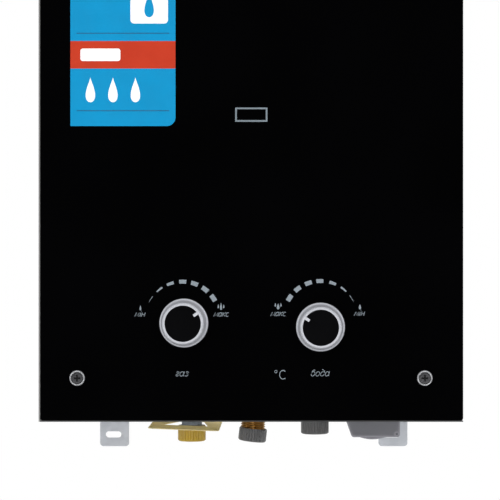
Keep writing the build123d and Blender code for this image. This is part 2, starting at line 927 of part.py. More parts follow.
# Flue collar: a spigot with a flange that sits on the hood and a bead that stops the flue pipe
with BuildPart() as flue_collar:
    with BuildSketch(Plane.XY.offset(level(hood_top))):
        with Locations((0, core_y)):
            Circle(flue_d / 2)
    extrude(amount=cover_height + flue_stand - hood_top)
    with BuildSketch(Plane.XY.offset(level(hood_top))):
        with Locations((0, core_y)):
            Circle(flue_d / 2 + flue_flange)
    extrude(amount=flue_flange_thick)
    with BuildSketch(Plane.XY.offset(level(cover_height + flue_bead_gap))):
        with Locations((0, core_y)):
            Circle(flue_d / 2 + flue_bead)
    extrude(amount=flue_bead)
    with BuildSketch(Plane.XY.offset(level(hood_top))):
        with Locations((0, core_y)):
            Circle(flue_d / 2 - flue_sheet)
    extrude(amount=cover_height + flue_stand - hood_top, mode=Mode.SUBTRACT)
save(flue_collar, "flue_collar")


def thermostat(side, rise):
    """Button thermostat on a side wall, with its two tags."""
    x = side * jacket_width / 2
    with BuildPart() as piece:
        with BuildSketch(Plane(origin=(x, core_y, level(rise)), z_dir=(side, 0, 0))):
            Circle(thermostat_d / 2)
        extrude(amount=thermostat_thick)
        with Locations((x + side * thermostat_thick, core_y, level(rise))):
            with GridLocations(0, thermostat_d / 2, 1, 2):
                Box(thermostat_blade, thermostat_blade_thick, thermostat_d / 4)
    return piece


spill_thermostat = thermostat(1, spill_rise)
save(spill_thermostat, "spill_thermostat")
overheat_thermostat = thermostat(-1, overheat_rise)
save(overheat_thermostat, "overheat_thermostat")

# Burner frame under the jacket: an upright sheet frame with a flange that meets the jacket's rim
frame_width = jacket_width - 2 * frame_side
frame_depth = frame_back - frame_face
frame_y = (frame_back + frame_face) / 2
bar_count = int((frame_width - 2 * frame_sheet - bar_width) / bar_pitch) + 1
bar_places = [bar_pitch * (bar - (bar_count - 1) / 2) for bar in range(bar_count)]
with BuildPart() as burner_frame:
    with BuildSketch(Plane.XY.offset(level(frame_foot))):
        with Locations((0, frame_y)):
            Rectangle(frame_width, frame_depth)
    extrude(amount=frame_height)
    with BuildSketch(Plane.XY.offset(level(jacket_foot - frame_sheet))):
        with Locations((0, core_y)):
            RectangleRounded(jacket_width, jacket_depth, jacket_corner)
    extrude(amount=frame_sheet)
    with BuildSketch(Plane.XY.offset(level(frame_foot))):
        with Locations((0, frame_y)):
            Rectangle(frame_width - 2 * frame_sheet, frame_depth - 2 * frame_sheet)
    extrude(amount=frame_height, mode=Mode.SUBTRACT)
    with BuildSketch(front_plane(0, frame_face, injector_rise)):
        with Locations([(x, 0) for x in bar_places]):
            Circle(injector_nose_d / 2 + injector_gap)
    extrude(amount=frame_sheet + injector_gap, both=True, mode=Mode.SUBTRACT)
save(burner_frame, "burner_frame")

# Burner bars, each a mixing channel, a neck and a port strip
with BuildPart() as burner_bars:
    with BuildSketch(front_plane(0, frame_back - frame_sheet, 0)):
        with Locations([(x, bar_foot) for x in bar_places]):
            Rectangle(bar_width, bar_mix_height, align=(Align.CENTER, Align.MIN))
            Rectangle(bar_neck, bar_top - bar_foot, align=(Align.CENTER, Align.MIN))
        with Locations([(x, bar_top) for x in bar_places]):
            Rectangle(bar_width, bar_port_height, align=(Align.CENTER, Align.MAX))
    extrude(amount=frame_depth - 2 * frame_sheet)
    with BuildSketch(front_plane(0, frame_face + frame_sheet, injector_rise)):
        with Locations([(x, 0) for x in bar_places]):
            Circle(bar_mouth_d / 2)
    extrude(amount=-bar_mouth_depth, mode=Mode.SUBTRACT)
save(burner_bars, "burner_bars")

# Gas manifold in front of the burner and one injector for each bar
manifold_half = bar_places[-1] + injector_d / 2 + manifold_margin
with BuildPart() as gas_manifold:
    with Locations((0, manifold_y, level(injector_rise))):
        Box(2 * manifold_half, manifold_size, manifold_size)
    fillet(gas_manifold.edges().filter_by(Axis.X), manifold_size / 8)
save(gas_manifold, "gas_manifold")

with BuildPart() as injectors:
    with BuildSketch(front_plane(0, frame_face, injector_rise)):
        with Locations([(x, 0) for x in bar_places]):
            RegularPolygon(injector_d / 2, 6)
    extrude(amount=injector_stand)
    with BuildSketch(front_plane(0, frame_face, injector_rise)):
        with Locations([(x, 0) for x in bar_places]):
            Circle(injector_nose_d / 2)
    extrude(amount=-injector_nose)
save(injectors, "injectors")

# Spark electrode on the right and flame sensor on the left, through the jacket's front wall
with BuildPart() as electrode_insulators:
    with BuildSketch(front_plane(0, jacket_face + insulator_in, electrode_rise)):
        with Locations((-electrode_x, 0), (electrode_x, 0)):
            Circle(insulator_d / 2)
    extrude(amount=insulator_in + insulator_out)
    with BuildSketch(front_plane(0, jacket_face, electrode_rise)):
        with Locations((-electrode_x, 0), (electrode_x, 0)):
            Circle(insulator_collar_d / 2)
    extrude(amount=insulator_collar)
    with BuildSketch(front_plane(0, jacket_face + insulator_in, electrode_rise)):
        with Locations((-electrode_x, 0), (electrode_x, 0)):
            Circle(rod_d / 2 + rod_fit)
    extrude(amount=insulator_in + insulator_out, mode=Mode.SUBTRACT)
save(electrode_insulators, "electrode_insulators")

with BuildPart() as electrode_rods:
    with BuildSketch(front_plane(0, jacket_face + insulator_in + rod_in, electrode_rise)):
        with Locations((-electrode_x, 0), (electrode_x, 0)):
            Circle(rod_d / 2)
    extrude(amount=rod_in + insulator_in + insulator_out + rod_out)
save(electrode_rods, "electrode_rods")

# Gas valve with its solenoid, riser and inlet
gas_valve_top = gas_valve_foot + gas_valve_height
gas_valve_body = valve_block(
    gas_x, gas_rise, gas_valve_width, gas_valve_foot, gas_valve_height,
    gas_valve_right, [(0, 0)], push_rod_d + 2 * push_rod_fit,
    -(push_rod_seat + push_rod_travel + overrun),
)
save(gas_valve_body, "gas_valve_body")

with BuildPart() as gas_solenoid:
    with BuildSketch(Plane.XY.offset(level(gas_valve_top))):
        with Locations((gas_x, -solenoid_back)):
            Circle(solenoid_d / 2)
    extrude(amount=solenoid_height)
    with BuildSketch(Plane.XY.offset(level(gas_valve_top + solenoid_height))):
        with Locations((gas_x, -solenoid_back)):
            Circle(solenoid_cap_d / 2)
    extrude(amount=solenoid_cap)
save(gas_solenoid, "gas_solenoid")

manifold_foot = injector_rise - manifold_size / 2
riser_route = [
    (gas_x, -riser_back, level(gas_valve_top)),
    (gas_x, -riser_back, level(gas_valve_top + riser_step)),
    (gas_x, manifold_y, level(gas_valve_top + 2 * riser_step)),
    (gas_x, manifold_y, level(manifold_foot)),
]
gas_riser = bent_tube(riser_route, riser_curve, riser_d, tube_wall)
save(gas_riser, "gas_riser")

gas_inlet = fitting(
    gas_inlet_x,
    [
        (thread_d / 2, gas_thread_end),
        (thread_d / 2, gas_thread_top),
        (gas_neck_d / 2, gas_thread_top),
        (gas_neck_d / 2, gas_valve_foot - fitting_flange),
        (gas_flange_d / 2, gas_valve_foot - fitting_flange),
        (gas_flange_d / 2, gas_valve_foot),
    ],
)
save(gas_inlet, "gas_inlet")

# Water valve: block, diaphragm, cover, screws and drain plug
screw_ring = [
    (
        valve_screw_circle / 2 * cos(2 * pi * mark / valve_screw_count),
        valve_screw_circle / 2 * sin(2 * pi * mark / valve_screw_count),
    )
    for mark in range(valve_screw_count)
]
water_valve_body = valve_block(
    water_x, water_rise, water_valve_width, water_valve_foot, water_valve_height,
    water_valve_left, screw_ring, valve_screw_d + 2 * valve_screw_fit,
    valve_screw_bite + overrun,
)
save(water_valve_body, "water_valve_body")

with BuildPart() as diaphragm:
    with BuildSketch(Plane.YZ.offset(valve_cover_right)):
        with Locations((rod_y, level(water_rise))):
            Circle(diaphragm_d / 2)
            with Locations(screw_ring):
                Circle(valve_screw_d / 2 + valve_screw_fit, mode=Mode.SUBTRACT)
    extrude(amount=diaphragm_thick)
save(diaphragm, "diaphragm")

with BuildPart() as water_valve_cover:
    with BuildSketch(Plane.YZ.offset(valve_cover_left)):
        with Locations((rod_y, level(water_rise))):
            Circle(diaphragm_d / 2)
            Circle(push_rod_d / 2 + push_rod_fit, mode=Mode.SUBTRACT)
            with Locations(screw_ring):
                Circle(valve_screw_d / 2 + valve_screw_fit, mode=Mode.SUBTRACT)
    extrude(amount=valve_cover_thick)
    with BuildSketch(Plane.YZ.offset(valve_cover_right)):
        with Locations((rod_y, level(water_rise))):
            Circle(chamber_d / 2)
    extrude(amount=-chamber_depth, mode=Mode.SUBTRACT)
save(water_valve_cover, "water_valve_cover")

with BuildPart() as valve_screws:
    with BuildSketch(Plane.YZ.offset(valve_cover_left)):
        with Locations((rod_y, level(water_rise))):
            with Locations(screw_ring):
                Circle(valve_screw_head_d / 2)
    extrude(amount=-valve_screw_head)
    with BuildSketch(Plane.YZ.offset(valve_cover_left)):
        with Locations((rod_y, level(water_rise))):
            with Locations(screw_ring):
                Circle(valve_screw_d / 2)
    extrude(amount=valve_cover_thick + diaphragm_thick + valve_screw_bite)
save(valve_screws, "valve_screws")

with BuildPart() as drain_plug:
    with BuildSketch(Plane.XY.offset(level(water_valve_foot))):
        with Locations((drain_x, drain_y)):
            Circle(drain_d / 2)
    extrude(amount=-drain_height)
    with BuildSketch(Plane.XY.offset(level(water_valve_foot - drain_height))):
        with Locations((drain_x, drain_y)):
            RegularPolygon(drain_head_d / 2, 6)
    extrude(amount=-drain_head)
save(drain_plug, "drain_plug")

# Push rod from the diaphragm to the gas valve, with the collar that tips the switch lever
with BuildPart() as push_rod:
    with BuildSketch(Plane.YZ.offset(gas_valve_right - push_rod_seat)):
        with Locations((rod_y, level(water_rise))):
            Circle(push_rod_d / 2)
    extrude(amount=valve_cover_right - push_head_gap - gas_valve_right + push_rod_seat)
    with BuildSketch(Plane.YZ.offset(valve_cover_right - push_head_gap - push_head)):
        with Locations((rod_y, level(water_rise))):
            Circle(push_head_d / 2)
    extrude(amount=push_head)
    with BuildSketch(Plane.YZ.offset(collar_x)):
        with Locations((rod_y, level(water_rise))):
            Circle(collar_d / 2)
    extrude(amount=collar_length)
save(push_rod, "push_rod")

# Microswitch on its foot, with two ears for the lever's pivot
ear_step = lever_width + 2 * switch_ear_gap + switch_ear
with BuildPart() as microswitch:
    with Locations((switch_right, rod_y, level(water_rise + switch_stand))):
        Box(
            switch_width, switch_depth, switch_height,
            align=(Align.MAX, Align.CENTER, Align.MIN),
        )
    with Locations((switch_right - switch_width / 2, -valve_back, level(water_rise + switch_stand))):
        Box(
            switch_foot_width, -valve_back - rod_y, switch_foot_height,
            align=(Align.CENTER, Align.MAX, Align.MIN),
        )
    with Locations((switch_right, rod_y, level(pivot_rise))):
        with GridLocations(0, ear_step, 1, 2):
            Box(
                2 * switch_ear_reach, switch_ear, switch_ear_height,
            )
    with BuildSketch(front_plane(lever_mid, rod_y, pivot_rise)):
        Circle(pivot_d / 2 + pivot_fit)
    extrude(amount=switch_depth, both=True, mode=Mode.SUBTRACT)
save(microswitch, "microswitch")

lever_foot = water_rise + push_rod_d / 2 + lever_clear
with BuildPart() as switch_lever:
    with Locations((lever_mid, rod_y, level(lever_foot))):
        Box(
            lever_thick, lever_width, pivot_rise - lever_foot,
            align=(Align.CENTER, Align.CENTER, Align.MIN),
        )
    with BuildSketch(front_plane(lever_mid, rod_y, pivot_rise)):
        Circle(knuckle_d / 2)
    extrude(amount=lever_width / 2, both=True)
    with BuildSketch(front_plane(lever_mid, rod_y, pivot_rise)):
        Circle(pivot_d / 2)
    extrude(amount=(ear_step + switch_ear) / 2, both=True)
save(switch_lever, "switch_lever")

# Hat-shaped carrier behind the two valves, and the shelf that steadies the connections
with BuildPart() as valve_bracket:
    with Locations((0, -plate_sheet, level(carrier_foot))):
        Box(
            2 * carrier_half, valve_back - plate_sheet, carrier_height,
            align=(Align.CENTER, Align.MAX, Align.MIN),
        )
        Box(
            2 * (carrier_half - carrier_sheet), valve_back - plate_sheet - carrier_sheet,
            carrier_height,
            align=(Align.CENTER, Align.MAX, Align.MIN), mode=Mode.SUBTRACT,
        )
save(valve_bracket, "valve_bracket")

with BuildPart() as connection_bracket:
    with Locations((shelf_left, -plate_sheet, level(shelf_rise))):
        Box(
            shelf_right - shelf_left, shelf_depth - plate_sheet, shelf_sheet,
            align=(Align.MIN, Align.MAX, Align.MIN),
        )
        Box(
            shelf_right - shelf_left, shelf_sheet, shelf_flange,
            align=(Align.MIN, Align.MAX, Align.MIN),
        )
    with BuildSketch(Plane.XY.offset(level(shelf_rise))):
        with Locations((gas_inlet_x, pipe_y)):
            Circle(gas_neck_d / 2 + shelf_fit)
        with Locations((hot_x, pipe_y), (cold_x, pipe_y)):
            Circle(thread_d / 2 + shelf_fit)
    extrude(amount=overrun, both=True, mode=Mode.SUBTRACT)
save(connection_bracket, "connection_bracket")

# Hot outlet on the shelf and cold inlet under the water valve
shelf_top = shelf_rise + shelf_sheet
hot_outlet = fitting(
    hot_x,
    [
        (thread_d / 2, hot_thread_end),
        (thread_d / 2, shelf_top),
        (fitting_flange_d / 2, shelf_top),
        (fitting_flange_d / 2, shelf_top + fitting_flange),
        (tube_d / 2 + tube_wall, shelf_top + fitting_flange),
        (tube_d / 2 + tube_wall, hot_top),
    ],
)
save(hot_outlet, "hot_outlet")

cold_inlet = fitting(
    cold_x,
    [
        (thread_d / 2, cold_thread_end),
        (thread_d / 2, water_valve_foot - fitting_flange),
        (fitting_flange_d / 2, water_valve_foot - fitting_flange),
        (fitting_flange_d / 2, water_valve_foot),
    ],
)
save(cold_inlet, "cold_inlet")

# Knobs, their discs and spindles
gas_spindle = spindle(gas_x, gas_rise)
save(gas_spindle, "gas_spindle")
water_spindle = spindle(water_x, water_rise)
save(water_spindle, "water_spindle")
gas_knob = knob(gas_x, gas_rise)
save(gas_knob, "gas_knob")
water_knob = knob(water_x, water_rise)
save(water_knob, "water_knob")
gas_knob_disc = knob_disc(gas_x, gas_rise)
save(gas_knob_disc, "gas_knob_disc")
water_knob_disc = knob_disc(water_x, water_rise)
save(water_knob_disc, "water_knob_disc")

# Igniter on the back plate, and its lead down, across under the burner and up to the spark rod
igniter_left = -(cover_width / 2 - cover_sheet - igniter_side)
igniter_right = -(coil_x + coil_d / 2 + igniter_coil_gap)
with BuildPart() as igniter_box:
    with Locations((igniter_left, -plate_sheet, level(igniter_rise))):
        Box(
            igniter_right - igniter_left, igniter_depth, igniter_height,
            align=(Align.MIN, Align.MAX, Align.MIN),
        )
    fillet(igniter_box.edges().filter_by(Axis.Y), igniter_edge)
save(igniter_box, "igniter_box")

lead_x = igniter_right - lead_inset
lead_face = jacket_face - insulator_out - lead_gap - lead_d / 2
lead_route = [
    (lead_x, lead_y, level(igniter_rise)),
    (lead_x, lead_y, level(igniter_rise - lead_low)),
    (lead_x, lead_face, level(igniter_rise - lead_low)),
    (electrode_x, lead_face, level(igniter_rise - lead_low)),
    (electrode_x, lead_face, level(electrode_rise - rod_d / 2 - rod_fit)),
]
ignition_lead = bent_tube(lead_route, lead_bend, lead_d, 0)
save(ignition_lead, "ignition_lead")


def box_outline(inset):
    """Battery box seen from the front: the lower left side slants in."""
    return [
        (box_left + inset, box_top - inset),
        (box_right - inset, box_top - inset),
        (box_right - inset, box_foot),
        (box_left + box_slant + inset, box_foot),
        (box_left + inset, box_slant_top),
    ]


# Battery box: its front and back walls reach down past the lid and hold the hinge pin
box_depth = box_back - box_front
with BuildPart() as battery_box:
    with BuildSketch(front_plane(0, box_back, 0)) as box_front_view:
        with BuildLine():
            Polyline(*box_outline(0), close=True)
        make_face()
        fillet(box_front_view.vertices().sort_by(Axis.Y)[:2], box_corner)
    extrude(amount=box_depth)
    with BuildSketch(front_plane(0, box_back - box_wall, 0)):
        with BuildLine():
            Polyline(*box_outline(box_wall), close=True)
        make_face()
        with Locations((box_left, box_foot - overrun)):
            Rectangle(
                box_right - box_left + overrun, lid_thick + lid_gap + overrun,
                align=(Align.MIN, Align.MIN),
            )
        with Locations((hinge_x, hinge_rise)):
            Circle(hinge_knuckle_d / 2 + hinge_clear)
    extrude(amount=box_depth - 2 * box_wall, mode=Mode.SUBTRACT)
    with BuildSketch(front_plane(hinge_x, box_back, hinge_rise)):
        Circle(hinge_d / 2 + hinge_fit)
    extrude(amount=box_depth, mode=Mode.SUBTRACT)
    for x in (box_left + box_wall, box_right - box_wall - box_rib):
        with Locations((x, -plate_sheet, level(box_rib_foot))):
            Box(
                box_rib, -plate_sheet - box_back, box_rib_height,
                align=(Align.MIN, Align.MAX, Align.MIN),
            )
save(battery_box, "battery_box")

# Battery lid with its finger tongue and hinge knuckle, and the hinge pin
lid_back = box_back - box_wall - lid_gap
lid_depth = box_depth - 2 * (box_wall + lid_gap)
lid_mid = (box_front + box_back) / 2
tongue_mid = (lid_tongue_left + lid_tongue_right) / 2
with BuildPart() as battery_lid:
    with Locations((box_left + box_slant, lid_back, level(box_foot))):
        Box(
            hinge_x - box_left - box_slant, lid_depth, lid_thick,
            align=(Align.MIN, Align.MAX, Align.MIN),
        )
    fillet(
        battery_lid.edges().filter_by(Axis.Y).group_by(Axis.X)[0].sort_by(Axis.Z)[0], lid_round
    )
    with BuildSketch(front_plane(0, lid_back - lid_depth + lid_tongue_depth, box_foot)):
        with BuildLine():
            ThreePointArc(
                (lid_tongue_left, 0), (tongue_mid, -lid_tongue), (lid_tongue_right, 0)
            )
            Line((lid_tongue_right, 0), (lid_tongue_right, lid_gap))
            Line((lid_tongue_right, lid_gap), (lid_tongue_left, lid_gap))
            Line((lid_tongue_left, lid_gap), (lid_tongue_left, 0))
        make_face()
    extrude(amount=lid_tongue_depth)
    with BuildSketch(front_plane(hinge_x, lid_back, hinge_rise)):
        Circle(hinge_knuckle_d / 2)
    extrude(amount=lid_depth)
    with BuildSketch(front_plane(hinge_x, lid_back, hinge_rise)):
        Circle(hinge_d / 2 + hinge_fit)
    extrude(amount=lid_depth, mode=Mode.SUBTRACT)
save(battery_lid, "battery_lid")

with BuildPart() as lid_hinge_pin:
    with BuildSketch(front_plane(hinge_x, box_back, hinge_rise)):
        Circle(hinge_d / 2)
    extrude(amount=box_depth)
save(lid_hinge_pin, "lid_hinge_pin")

# Two cells, the link strip with its two spring cones on the lid, and the plates under the roof
with BuildPart() as lid_contact:
    with Locations((cell_x, lid_mid, level(lid_top))):
        Box(
            2 * contact_margin, cell_d + cell_gap + 2 * contact_margin, contact_thick,
            align=(Align.CENTER, Align.CENTER, Align.MIN),
        )
    spring_height = cell_foot - lid_gap - lid_top - contact_thick
    with Locations([(cell_x, y, level(lid_top + contact_thick)) for y in cell_places]):
        Cone(
            contact_margin, contact_tip_d / 2, spring_height,
            align=(Align.CENTER, Align.CENTER, Align.MIN),
        )
save(lid_contact, "lid_contact")

with BuildPart() as batteries:
    with BuildSketch(Plane.XY.offset(level(cell_foot))):
        with Locations([(cell_x, y) for y in cell_places]):
            Circle(cell_d / 2)
    extrude(amount=cell_length - cell_cap)
    with BuildSketch(Plane.XY.offset(level(cell_foot + cell_length - cell_cap))):
        with Locations([(cell_x, y) for y in cell_places]):
            Circle(cell_cap_d / 2)
    extrude(amount=cell_cap)
save(batteries, "batteries")

cell_top = cell_foot + cell_length
with BuildPart() as battery_contacts:
    with Locations([(cell_x, y, level(cell_top)) for y in cell_places]):
        Box(
            2 * contact_margin, 2 * contact_margin, box_top - box_wall - cell_top,
            align=(Align.CENTER, Align.CENTER, Align.MIN),
        )
save(battery_contacts, "battery_contacts")

# Transport caps on the three threads; the middle one sits askew
gas_cap = ribbed_cap(
    Plane.XY.offset(level(gas_cap_foot)).move(Location((gas_inlet_x, pipe_y, 0))),
    cap_fit, gas_cap_height,
)
save(gas_cap, "gas_cap")

tilt = radians(hot_cap_tilt)
hot_grip = (hot_cap_foot + cap_height + hot_thread_end) / 2
hot_plane = Plane(
    origin=(hot_x - (hot_grip - hot_cap_foot) * tan(tilt), pipe_y, level(hot_cap_foot)),
    x_dir=(cos(tilt), 0, -sin(tilt)),
    z_dir=(sin(tilt), 0, cos(tilt)),
)
hot_cap = ribbed_cap(hot_plane, hot_cap_fit, cap_height)
save(hot_cap, "hot_cap")

cold_cap = ribbed_cap(
    Plane.XY.offset(level(cold_cap_foot)).move(Location((cold_x, pipe_y, 0))),
    cap_fit, cap_height,
)
save(cold_cap, "cold_cap")

# Card tag that leans on the rim of the gas cap, with a four-sided hole for the thread
rim_r = cap_d / 2 - cap_rib
lean = radians(tag_tilt)
tag_plane = Plane(
    origin=(gas_inlet_x + rim_r, pipe_y, level(gas_cap_foot + gas_cap_height)),
    x_dir=(cos(lean), 0, -sin(lean)),
    z_dir=(sin(lean), 0, cos(lean)),
)
tag_y = -tag_back - tag_depth / 2 - pipe_y
with BuildPart() as gas_tag:
    with BuildSketch(tag_plane):
        with Locations((tag_shift - rim_r, tag_y)):
            RectangleRounded(tag_width, tag_depth, tag_corner)
        with Locations((-rim_r, 0)):
            Polygon(
                (-tag_hole_front_left, -tag_hole_front), (tag_hole_front_right, -tag_hole_front),
                (tag_hole_back_right, tag_hole_back), (-tag_hole_back_left, tag_hole_back),
                align=None, mode=Mode.SUBTRACT,
            )
    extrude(amount=tag_thick)
save(gas_tag, "gas_tag")
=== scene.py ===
# %% [markdown]
# # A wall-hung gas water heater
# The heater hangs on a wall by two ears. Its front is a sheet of black glass with two knobs,
# printed scales and a sticker, and the gas and water connections stand out underneath, closed
# with transport caps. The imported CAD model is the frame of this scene: its solids stay where they
# are, and each cell adds a finish or a finer piece to them.

import json
import math

import bmesh
import bpy
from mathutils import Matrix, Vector


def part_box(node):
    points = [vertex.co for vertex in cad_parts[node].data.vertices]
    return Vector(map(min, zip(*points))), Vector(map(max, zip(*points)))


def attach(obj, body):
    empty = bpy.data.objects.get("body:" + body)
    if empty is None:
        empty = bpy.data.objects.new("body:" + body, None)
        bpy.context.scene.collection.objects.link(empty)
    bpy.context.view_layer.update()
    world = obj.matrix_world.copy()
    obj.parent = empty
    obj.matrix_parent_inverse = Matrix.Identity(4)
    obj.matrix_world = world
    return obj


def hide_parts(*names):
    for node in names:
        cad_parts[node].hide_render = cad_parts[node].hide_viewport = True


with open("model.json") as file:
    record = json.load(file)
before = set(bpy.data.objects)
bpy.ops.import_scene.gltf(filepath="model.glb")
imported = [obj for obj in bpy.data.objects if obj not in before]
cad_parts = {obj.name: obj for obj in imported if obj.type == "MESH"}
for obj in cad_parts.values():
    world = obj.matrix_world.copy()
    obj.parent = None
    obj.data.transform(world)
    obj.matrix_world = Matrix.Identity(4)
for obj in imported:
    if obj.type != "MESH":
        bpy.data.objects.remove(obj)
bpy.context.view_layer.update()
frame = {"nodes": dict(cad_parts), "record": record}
nodes = frame["nodes"]

# %% [markdown]
# ## Places on the glass
# Blender works in metres, so a millimetre gets a name. The prints were measured on the photograph,
# where a pixel on the glass is 0.8 mm. Two functions turn a pixel's column and row into a place on
# the glass, counted from the column over the heater's middle and the row of the cover's lower edge.

# %% Read the main places
mm = 0.001
glass_low, glass_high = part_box("glass_panel")
cover_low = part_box("front_cover")[0]
glass_face = glass_low.y
cover_foot = cover_low.z
pixel = 0.8 * mm
middle_column = 250.9
foot_row = 421.7


def column_x(column):
    """X of a pixel column of the photograph on the glass."""
    return (column - middle_column) * pixel


def row_z(row):
    """Z of a pixel row of the photograph on the glass."""
    return cover_foot + (foot_row - row) * pixel


print("glass face at", glass_face, "and cover foot at", cover_foot)

# %% [markdown]
# ## Camera
# The photograph was taken with a long lens, straight at the front, from a little right of the
# middle and a little above the knobs. The lens is as long as 2000 of the picture's pixels. The frame
# is cut off at the top, which a lens shift gives without tilting the camera: it puts the point that
# the eye faces at column 286 and row 255.

# %% Camera
picture_pixels = 500
lens_pixels = 2000
eye_column, eye_row = 286, 255
eye_distance = 1600 * mm
eye_x = 28 * mm
eye_rise = 133.4 * mm
sensor_width = 36
view_reach = 20

camera_data = bpy.data.cameras.new("camera")
camera_data.sensor_width = sensor_width
camera_data.lens = sensor_width * lens_pixels / picture_pixels
camera_data.shift_x = (picture_pixels / 2 - eye_column) / picture_pixels
camera_data.shift_y = (eye_row - picture_pixels / 2) / picture_pixels
camera_data.clip_end = view_reach
camera = bpy.data.objects.new("camera", camera_data)
camera.location = (eye_x, glass_face - eye_distance, cover_foot + eye_rise)
camera.rotation_euler = (math.pi / 2, 0, 0)
bpy.context.scene.collection.objects.link(camera)
bpy.context.scene.camera = camera
bpy.context.scene.view_settings.view_transform = "Standard"
print("camera at", tuple(camera.location))

# %% [markdown]
# ## Node helper
# Every finish is a small graph of shader nodes. This helper makes one node, sets its options and
# fills its sockets: a socket of another node is linked, and anything else is typed in. Three more
# helpers mix two colours, do a sum, and carry a value over to another range. A Mix node has sockets
# for each kind of value, so those for colours are named by their numbers.

# %% Node helpers
mix_factor, mix_first, mix_second, mix_result = 0, 6, 7, 2


def add(tree, kind, inputs=None, **settings):
    """Shader node of this kind, with its options set and its sockets filled or linked."""
    node = tree.nodes.new("ShaderNode" + kind)
    for name, value in settings.items():
        setattr(node, name, value)
    for name, value in (inputs or {}).items():
        if isinstance(value, bpy.types.NodeSocket):
            tree.links.new(value, node.inputs[name])
        else:
            node.inputs[name].default_value = value
    return node


def mix_colour(tree, factor, first, second):
    """Colour between first, at factor 0, and second, at factor 1."""
    sockets = {mix_factor: factor, mix_first: first, mix_second: second}
    return add(tree, "Mix", sockets, data_type="RGBA").outputs[mix_result]


def calculate(tree, operation, first, second=0.0):
    """Result of one sum on two values, kept between 0 and 1."""
    return add(tree, "Math", {0: first, 1: second}, operation=operation, use_clamp=True).outputs[0]


def spread(tree, value, low, high, to_low=0.0, to_high=1.0):
    """Value carried over from one range to another and kept inside it."""
    return add(tree, "MapRange", {
        "Value": value, "From Min": low, "From Max": high, "To Min": to_low, "To Max": to_high,
    }).outputs["Result"]


print("node helpers ready")

# %% [markdown]
# ## White surroundings with a dark wall behind the camera
# The photograph has a plain white ground, but the glass shows a black room, as in a studio where
# a dark cloth hangs behind the camera. So the world is white for the eye and for metal and clear
# glass, and dark only towards the cloth, and a calmer grey lights what is matt.

# %% World
world = bpy.data.worlds.new("studio")
bpy.context.scene.world = world
world.use_nodes = True
world_tree = world.node_tree
world_tree.nodes.clear()
white = (1.0, 1.0, 1.0, 1.0)
cloth_black = (0.004, 0.004, 0.004, 1.0)
fill_grey = (0.64, 0.64, 0.64, 1.0)
cloth_rim = 0.5
cloth_core = 0.85

paths = add(world_tree, "LightPath")
direction = add(world_tree, "TexCoord").outputs["Generated"]
front = (0, -1, 0)
towards_front = add(world_tree, "VectorMath", {0: direction, 1: front}, operation="DOT_PRODUCT")
cloth = spread(world_tree, towards_front.outputs["Value"], cloth_rim, cloth_core)
mirrored = mix_colour(world_tree, cloth, white, cloth_black)
lit = mix_colour(world_tree, paths.outputs["Is Glossy Ray"], fill_grey, mirrored)
looked_at = calculate(
    world_tree, "ADD", paths.outputs["Is Camera Ray"], paths.outputs["Is Transmission Ray"],
)
ground = mix_colour(world_tree, looked_at, lit, white)
background = add(world_tree, "Background", {"Color": ground, "Strength": 1.0})
world_output = add(world_tree, "OutputWorld")
world_tree.links.new(background.outputs["Background"], world_output.inputs["Surface"])
print("world nodes:", len(world_tree.nodes))

# %% [markdown]
# ## Soft boxes
# Large area lamps give the soft studio light: one high in front, one at each side, a long low one
# for the fittings underneath, and one behind. Those in front stand outside the part of the room that
# the glass mirrors into the camera, so the glass stays black while the knobs, screws and caps get
# bright sides.

# %% Lamps
heater_middle = (0, -0.1, -0.4)
fittings = (0, -0.05, -0.62)


def soft_box(name, place, aim, width, height, power):
    """Area lamp at a place, turned towards its aim, with its sizes in metres and its power in watts."""
    data = bpy.data.lights.new(name, "AREA")
    data.shape = "RECTANGLE"
    data.size = width
    data.size_y = height
    data.energy = power
    lamp = bpy.data.objects.new(name, data)
    lamp.location = place
    lamp.rotation_euler = (Vector(aim) - Vector(place)).to_track_quat("-Z", "Y").to_euler()
    bpy.context.scene.collection.objects.link(lamp)
    return lamp


lamps = [
    soft_box("top_box", (0, -1.2, 0.95), heater_middle, width=1.5, height=0.7, power=12),
    soft_box("left_box", (-1.4, -0.9, -0.2), heater_middle, width=0.7, height=1.4, power=8),
    soft_box("right_box", (1.4, -0.9, -0.2), heater_middle, width=0.7, height=1.4, power=8),
    soft_box("low_box", (0, -1.5, -0.92), fittings, width=1.4, height=0.25, power=8),
    soft_box("back_box", (0, 1.3, 0.5), heater_middle, width=1.4, height=0.9, power=8),
]
print("soft boxes:", len(lamps))

# %% [markdown]
# ## Floor
# A pale floor carries the heater's shadow in the views from above. It is a round sheet that fades
# out towards its rim, so no edge shows against the white ground, and it lies lower than the opened
# lid and the pulled caps reach. Seen from below it is clear, so the underside can be looked at.

# %% Floor
floor_drop = 130 * mm
floor_radius = 0.44
floor_solid = 0.16
floor_sides = 96
floor_white = (0.9, 0.9, 0.9, 1.0)
floor_roughness = 0.8
floor_mesh = bpy.data.meshes.new("floor")
floor_shape = bmesh.new()
bmesh.ops.create_circle(floor_shape, cap_ends=True, segments=floor_sides, radius=floor_radius)
floor_shape.to_mesh(floor_mesh)
floor_shape.free()
floor = bpy.data.objects.new("floor", floor_mesh)
floor.location = (0, glass_face / 2, cover_foot - floor_drop)
bpy.context.scene.collection.objects.link(floor)

